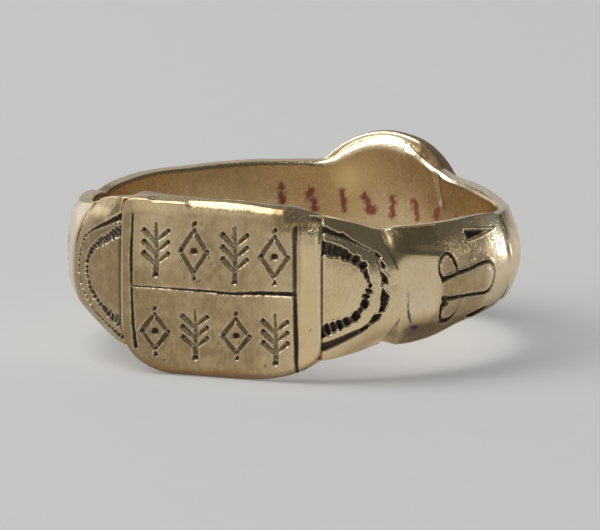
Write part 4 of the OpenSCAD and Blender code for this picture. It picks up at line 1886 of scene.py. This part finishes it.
        # A thin painted highlight along both sides of the plate.
        side = bell(np.abs(x) - self.width / 2.0 + 0.07, 0.0, 0.06) * eased(0.5, 1.4, z)
        marks = {
            Mark.RESIDUE_AND_SHADE: np.concatenate([relief.residue_and_shade, blank]),
            Mark.POLISH_AND_HIGHLIGHT: np.concatenate([np.maximum(relief.bright, side.ravel()), blank]),
            Mark.INSIDE: np.concatenate([blank, blank + 1.0]),
        }
        for mark, values in self._stains(x, level, away).items():
            marks[mark] = np.maximum(marks.get(mark, 0.0), np.concatenate([values.ravel(), blank]))
        return MetalPiece("bezel_plate", self.finish).cast(points, self._faces(), marks)


@dataclass
class Medallion:
    """The round plate opposite the bezel, soldered on outside the hoop's wall, which it overtops.

    Its outline is flattened a little about one angle.
    """

    form: HoopForm
    finish: bpy.types.Material
    diameter: float = 8.75
    wall: float = 1.2
    angle: float = 173.1
    rise: float = 0.1
    bevel: float = 0.32
    root: float = 0.42
    foot: float = 0.1
    dents: float = 0.03
    wobble: float = 0.006
    flat_depth: float = 0.028
    flat_at: float = 146.0
    flat_half: float = 15.0
    spokes: int = 240

    def _outline(self) -> list[tuple[float, float, float]]:
        """Stations from the outer face's middle over the rim to the inner face's middle.

        Returns:
            Radius, height of the outer side or depth of the inner side, and 1 where the station
            belongs to the inner side.
        """
        half, top = self.diameter / 2.0, self.form.bore_r + self.wall
        flat = half - self.bevel
        rows = [(flat * s, top - self.rise * s**2, 0.0) for s in np.linspace(0.02, 1.0, 34)]
        for t in np.linspace(0.0, math.pi / 2.0, 10)[1:]:
            height = top - self.rise - self.bevel * (1.0 - math.cos(t))
            rows.append((flat + self.bevel * math.sin(t), height, 0.0))
        for t in np.linspace(0.0, 1.0, 8):
            rows.append((half - self.foot * t**3, self.root + 0.22 * (1.0 - t), 1.0))
        inner = half - self.foot
        rows += [(inner * s, self.root - 0.03 * (1.0 - s), 1.0) for s in np.linspace(0.97, 0.02, 22)]
        return rows

    def _dress(self, aside: np.ndarray, radius: np.ndarray, inner: np.ndarray) -> dict[Mark, np.ndarray]:
        """What each point carries for the finish, the two middles last.

        Args:
            aside: Distance of every point to the side, stations by spokes.
            radius: Radius of each station.
            inner: True where a point belongs to the inner side.

        Returns:
            Marks, one number for each point.
        """
        half = self.diameter / 2.0
        shaded = eased(-1.3, -2.0, aside)
        edge = np.where(inner, eased(half - 0.06, half - 0.02, radius), 0.0)
        edge = np.where(inner, edge, eased(half - 0.3, half - 0.12, radius))
        # Tarnish and painted shade: the shaded side and the edges painted darker; the rest of the inner face
        # whitened as a painted highlight.
        tarnish_and_shade = np.where(inner, np.maximum(shaded, edge), 0.25 + 0.5 * edge)
        bright = np.where(inner, 0.9 * (1.0 - shaded) * (1.0 - edge), 0.0)
        held = np.maximum(np.where(inner, 0.5 * shaded, 0.0), 0.42 * edge)
        return {
            Mark.TARNISH_AND_SHADE: np.append(tarnish_and_shade.ravel(), [0.25, 0.0]),
            Mark.POLISH_AND_HIGHLIGHT: np.append(bright.ravel(), [0.0, 0.9]),
            Mark.RESIDUE_AND_SHADE: np.append(held.ravel(), [0.0, 0.0]),
        }

    def build(self) -> bpy.types.Object:
        """Builds the medallion and dresses it.

        Returns:
            The medallion as one closed piece.
        """
        form = self.form
        stations = np.array(self._outline())
        turn = np.linspace(0.0, 2.0 * math.pi, self.spokes, endpoint=False)
        reach = np.repeat(stations[:, :1], self.spokes, axis=1)
        half = self.diameter / 2.0
        worn = Hammering(seed=9, pitch=0.9).at(np.stack([half * np.cos(turn), half * np.sin(turn)], axis=-1))
        flattened = self.flat_depth * bell(np.degrees(turn), self.flat_at, self.flat_half)
        reach = reach * (1.0 - (self.wobble * (0.6 + worn) + flattened)[None, :] * (reach / half) ** 4)
        aside, level = reach * np.cos(turn), reach * np.sin(turn)
        bore = np.sqrt(form.bore_r**2 - np.clip(aside, -half, half) ** 2)
        inner = np.repeat(stations[:, 2:3], self.spokes, axis=1) > 0.5
        out = np.where(inner, bore + stations[:, 1:2], stations[:, 1:2])
        flat = np.stack([aside, level], axis=-1)
        dents, small = Hammering(seed=13, pitch=1.3).at(flat), Hammering(seed=14, pitch=0.45).at(flat)
        out = out - np.where(inner, 0.0, self.dents + self.dents * dents + 0.008 * small)
        axis = math.radians(self.angle)
        away = np.array([math.sin(axis), -math.cos(axis), 0.0])
        along = np.array([math.cos(axis), math.sin(axis), 0.0])
        up = np.array([0.0, 0.0, 1.0])
        rings = out[..., None] * away + aside[..., None] * along + (level + form.mid_z)[..., None] * up
        rows, n = len(stations), self.spokes
        points = np.concatenate([rings.reshape(-1, 3), rings[:1].mean(axis=1), rings[-1:].mean(axis=1)])
        first, last, rim = rows * n, rows * n + 1, (rows - 1) * n
        faces = tube_quads(rows, n)
        faces += [[first, j, (j + 1) % n] for j in range(n)]
        faces += [[last, rim + (j + 1) % n, rim + j] for j in range(n)]
        marks = self._dress(aside, stations[:, :1], inner)
        return MetalPiece("medallion", self.finish).cast(points, faces, marks)


@dataclass(frozen=True)
class SoftLight:
    """A soft box that faces the ring, square unless it has a height of its own."""

    name: str
    place: tuple[float, float, float]
    size: float
    power: float
    tall: Optional[float] = None
    colour: Colour = (1.0, 1.0, 1.0)

    def hang(self, target: Vector) -> None:
        """Hangs the light so that it faces a point.

        Args:
            target: Point that the light faces, in metres.
        """
        data = bpy.data.lights.new(self.name, "AREA")
        data.shape = "RECTANGLE"
        data.size, data.size_y = self.size, self.tall or self.size
        data.energy, data.color = self.power, self.colour
        lamp = bpy.data.objects.new(self.name, data)
        lamp.location = self.place
        lamp.visible_camera = False
        lamp.rotation_euler = (target - Vector(self.place)).to_track_quat("-Z", "Y").to_euler()
        bpy.context.scene.collection.objects.link(lamp)


@dataclass(frozen=True)
class Studio:
    """Floor, lights and camera round the ring, with the aim a few pixels from the ring's middle."""

    middle: Vector
    azimuth: float = 20.0
    elevation: float = 10.0
    distance: float = 0.3
    lens: float = 378.0
    sensor: float = 36.0
    nearest: float = 0.01
    farthest: float = 20.0
    floor_reach: float = 3.0
    right_px: float = 4.5
    down_px: float = 14.5
    px_per_m: float = 21000.0
    world_grey: Colour = (0.1, 0.1, 0.103)
    lights: tuple[SoftLight, ...] = (
        SoftLight("softbox_left", (-0.42, -0.2, 0.64), size=0.6, tall=0.8, power=5.4),
        SoftLight("card_front", (-0.26, -0.56, 0.17), size=0.46, tall=0.36, power=0.28),
        SoftLight("card_left", (-0.5, 0.3, 0.1), size=0.4, tall=0.24, power=0.24),
        SoftLight(
            "card_back", (-0.21, 0.57, 0.29), size=0.6, tall=0.54, power=0.38, colour=(0.95, 0.97, 1.0)
        ),
        SoftLight("spot_right", (0.16, 0.25, 0.008), size=0.034, tall=0.014, power=0.036),
    )

    def _floor(self) -> None:
        """Lays the pale floor."""
        mesh = bpy.data.meshes.new("floor")
        reach = self.floor_reach
        corners = [(-reach, -reach, 0.0), (reach, -reach, 0.0), (reach, reach, 0.0), (-reach, reach, 0.0)]
        mesh.from_pydata(corners, [], [(0, 1, 2, 3)])
        mesh.materials.append(PaleFloor().material())
        floor = bpy.data.objects.new("floor", mesh)
        bpy.context.scene.collection.objects.link(floor)

    def _camera(self) -> None:
        """Sets the camera at the ring's own viewing angle."""
        a, e = math.radians(self.azimuth), math.radians(self.elevation)
        back = Vector((math.sin(a) * math.cos(e), -math.cos(a) * math.cos(e), math.sin(e)))
        right = Vector((math.cos(a), math.sin(a), 0.0))
        up = back.cross(right)
        aim = self.middle + right * (self.right_px / self.px_per_m) - up * (self.down_px / self.px_per_m)
        data = bpy.data.cameras.new("camera")
        data.lens, data.sensor_width, data.sensor_fit = self.lens, self.sensor, "HORIZONTAL"
        data.clip_start, data.clip_end = self.nearest, self.farthest
        camera = bpy.data.objects.new("camera", data)
        rows = [(right[i], up[i], back[i], aim[i] + back[i] * self.distance) for i in range(3)]
        camera.matrix_world = Matrix((*rows, (0.0, 0.0, 0.0, 1.0)))
        bpy.context.scene.collection.objects.link(camera)
        bpy.context.scene.camera = camera

    def set_up(self) -> None:
        """Lays the floor and sets lights, world and camera."""
        self._floor()
        for light in self.lights:
            light.hang(self.middle)
        world = bpy.data.worlds.new("studio")
        world.use_nodes = True
        world.node_tree.nodes["Background"].inputs["Color"].default_value = (*self.world_grey, 1.0)
        bpy.context.scene.world = world
        bpy.context.scene.view_settings.view_transform = "Standard"
        self._camera()


# Cross-sections of the hoop, in the columns of SectionTable
FRONT_RIGHT = (
    (0, 3.80, 3.80, 0.30, 0.10, 4.0), (26, 3.45, 3.30, 1.30, 0.45, 4.0), (34, 3.10, 3.05, 1.05, 0.80, 3.5),
    (43, 2.60, 2.65, 0.75, 1.15, 4.0), (47, 2.70, 2.80, 0.75, 0.95, 5.5), (56, 2.72, 2.68, 0.75, 0.70, 4.6),
    (68, 2.70, 2.25, 0.62, 0.62, 2.0), (78, 2.64, 2.06, 0.60, 0.62, 1.65),
    (86, 2.52, 1.92, 0.60, 0.62, 1.65), (90, 2.38, 1.82, 0.58, 0.64, 1.8),
)
FRONT_LEFT = (
    (0, 3.80, 3.80, 0.30, 0.10, 4.0), (26, 3.85, 3.20, 1.30, 0.45, 4.0), (34, 3.65, 2.93, 1.05, 0.80, 3.5),
    (43, 3.25, 2.55, 0.75, 1.15, 3.0), (47, 3.02, 2.38, 0.75, 1.03, 2.8), (56, 2.80, 2.12, 0.75, 0.70, 2.4),
    (68, 2.62, 1.92, 0.60, 0.54, 2.1), (78, 2.60, 1.90, 0.60, 0.53, 2.1), (86, 2.50, 1.84, 0.60, 0.56, 2.1),
    (90, 2.38, 1.78, 0.58, 0.58, 2.1),
)
BACK_RIGHT = (
    (94, 2.36, 1.86, 0.55, 0.57, 1.9), (102, 2.26, 1.90, 0.55, 0.59, 1.8),
    (112, 2.12, 1.92, 0.55, 0.58, 1.8), (122, 2.12, 1.98, 0.55, 0.52, 2.1),
    (132, 2.26, 2.08, 0.58, 0.45, 2.2), (143, 2.44, 2.30, 0.62, 0.33, 2.4),
    (150, 2.55, 2.55, 0.66, 0.22, 2.8), (155, 2.82, 2.85, 0.68, 0.17, 3.0),
    (159, 3.14, 3.20, 0.68, 0.17, 3.0), (163, 3.58, 3.60, 0.70, 0.15, 3.0),
    (166, 4.02, 4.00, 0.70, 0.15, 3.0), (170, 4.25, 4.25, 0.70, 0.15, 3.0),
    (175, 4.32, 4.32, 0.70, 0.15, 3.0), (180, 4.17, 4.17, 0.70, 0.15, 3.0),
)
BACK_LEFT = (
    (94, 2.45, 2.10, 0.55, 0.58, 2.1), (110, 2.70, 2.40, 0.60, 0.55, 2.2),
    (130, 2.74, 2.70, 0.60, 0.50, 2.2), (150, 2.84, 2.80, 0.65, 0.30, 2.4),
    (162, 2.83, 2.80, 0.68, 0.20, 2.8), (168, 2.86, 2.85, 0.68, 0.17, 3.0),
    (171, 3.14, 3.14, 0.70, 0.15, 3.0), (173.5, 3.56, 3.54, 0.70, 0.15, 3.0),
    (176, 3.86, 3.86, 0.70, 0.15, 3.0), (180, 4.17, 4.17, 0.70, 0.15, 3.0),
)


def main() -> None:
    """Builds the ring piece by piece and the studio round it."""
    logging.basicConfig(level=logging.INFO, format="%(name)s: %(message)s")
    low, high = (Vector(corner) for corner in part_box("ring"))
    bore = next(mount for mount in frame["record"]["mounts"] if mount["kind"] == "bore")
    form = HoopForm(
        bore_r=float(bore["dims"]["r_mm"]),
        mid_z=(low.z + high.z) / 2.0 / MM,
        right=SectionTable(FRONT_RIGHT + BACK_RIGHT),
        left=SectionTable(FRONT_LEFT + BACK_LEFT),
    )
    hoop_gold = SatinGold("satin_gold_hoop").material()
    plate_gold = SatinGold(
        "satin_gold_plate",
        scratch_turns=((0.0, 0.0, 0.0), (0.0, 7.0, 0.0), (0.0, -38.0, 0.0)),
    ).material()
    Shoulder(form, Side.RIGHT, hoop_gold).build()
    Shoulder(form, Side.LEFT, hoop_gold).build()
    BackHoop(form, hoop_gold).build()
    BezelPlate(form, plate_gold).build()
    Medallion(form, hoop_gold).build()
    Studio(Vector((0.0, 0.0, form.mid_z * MM))).set_up()


if __name__ == "__main__":
    main()
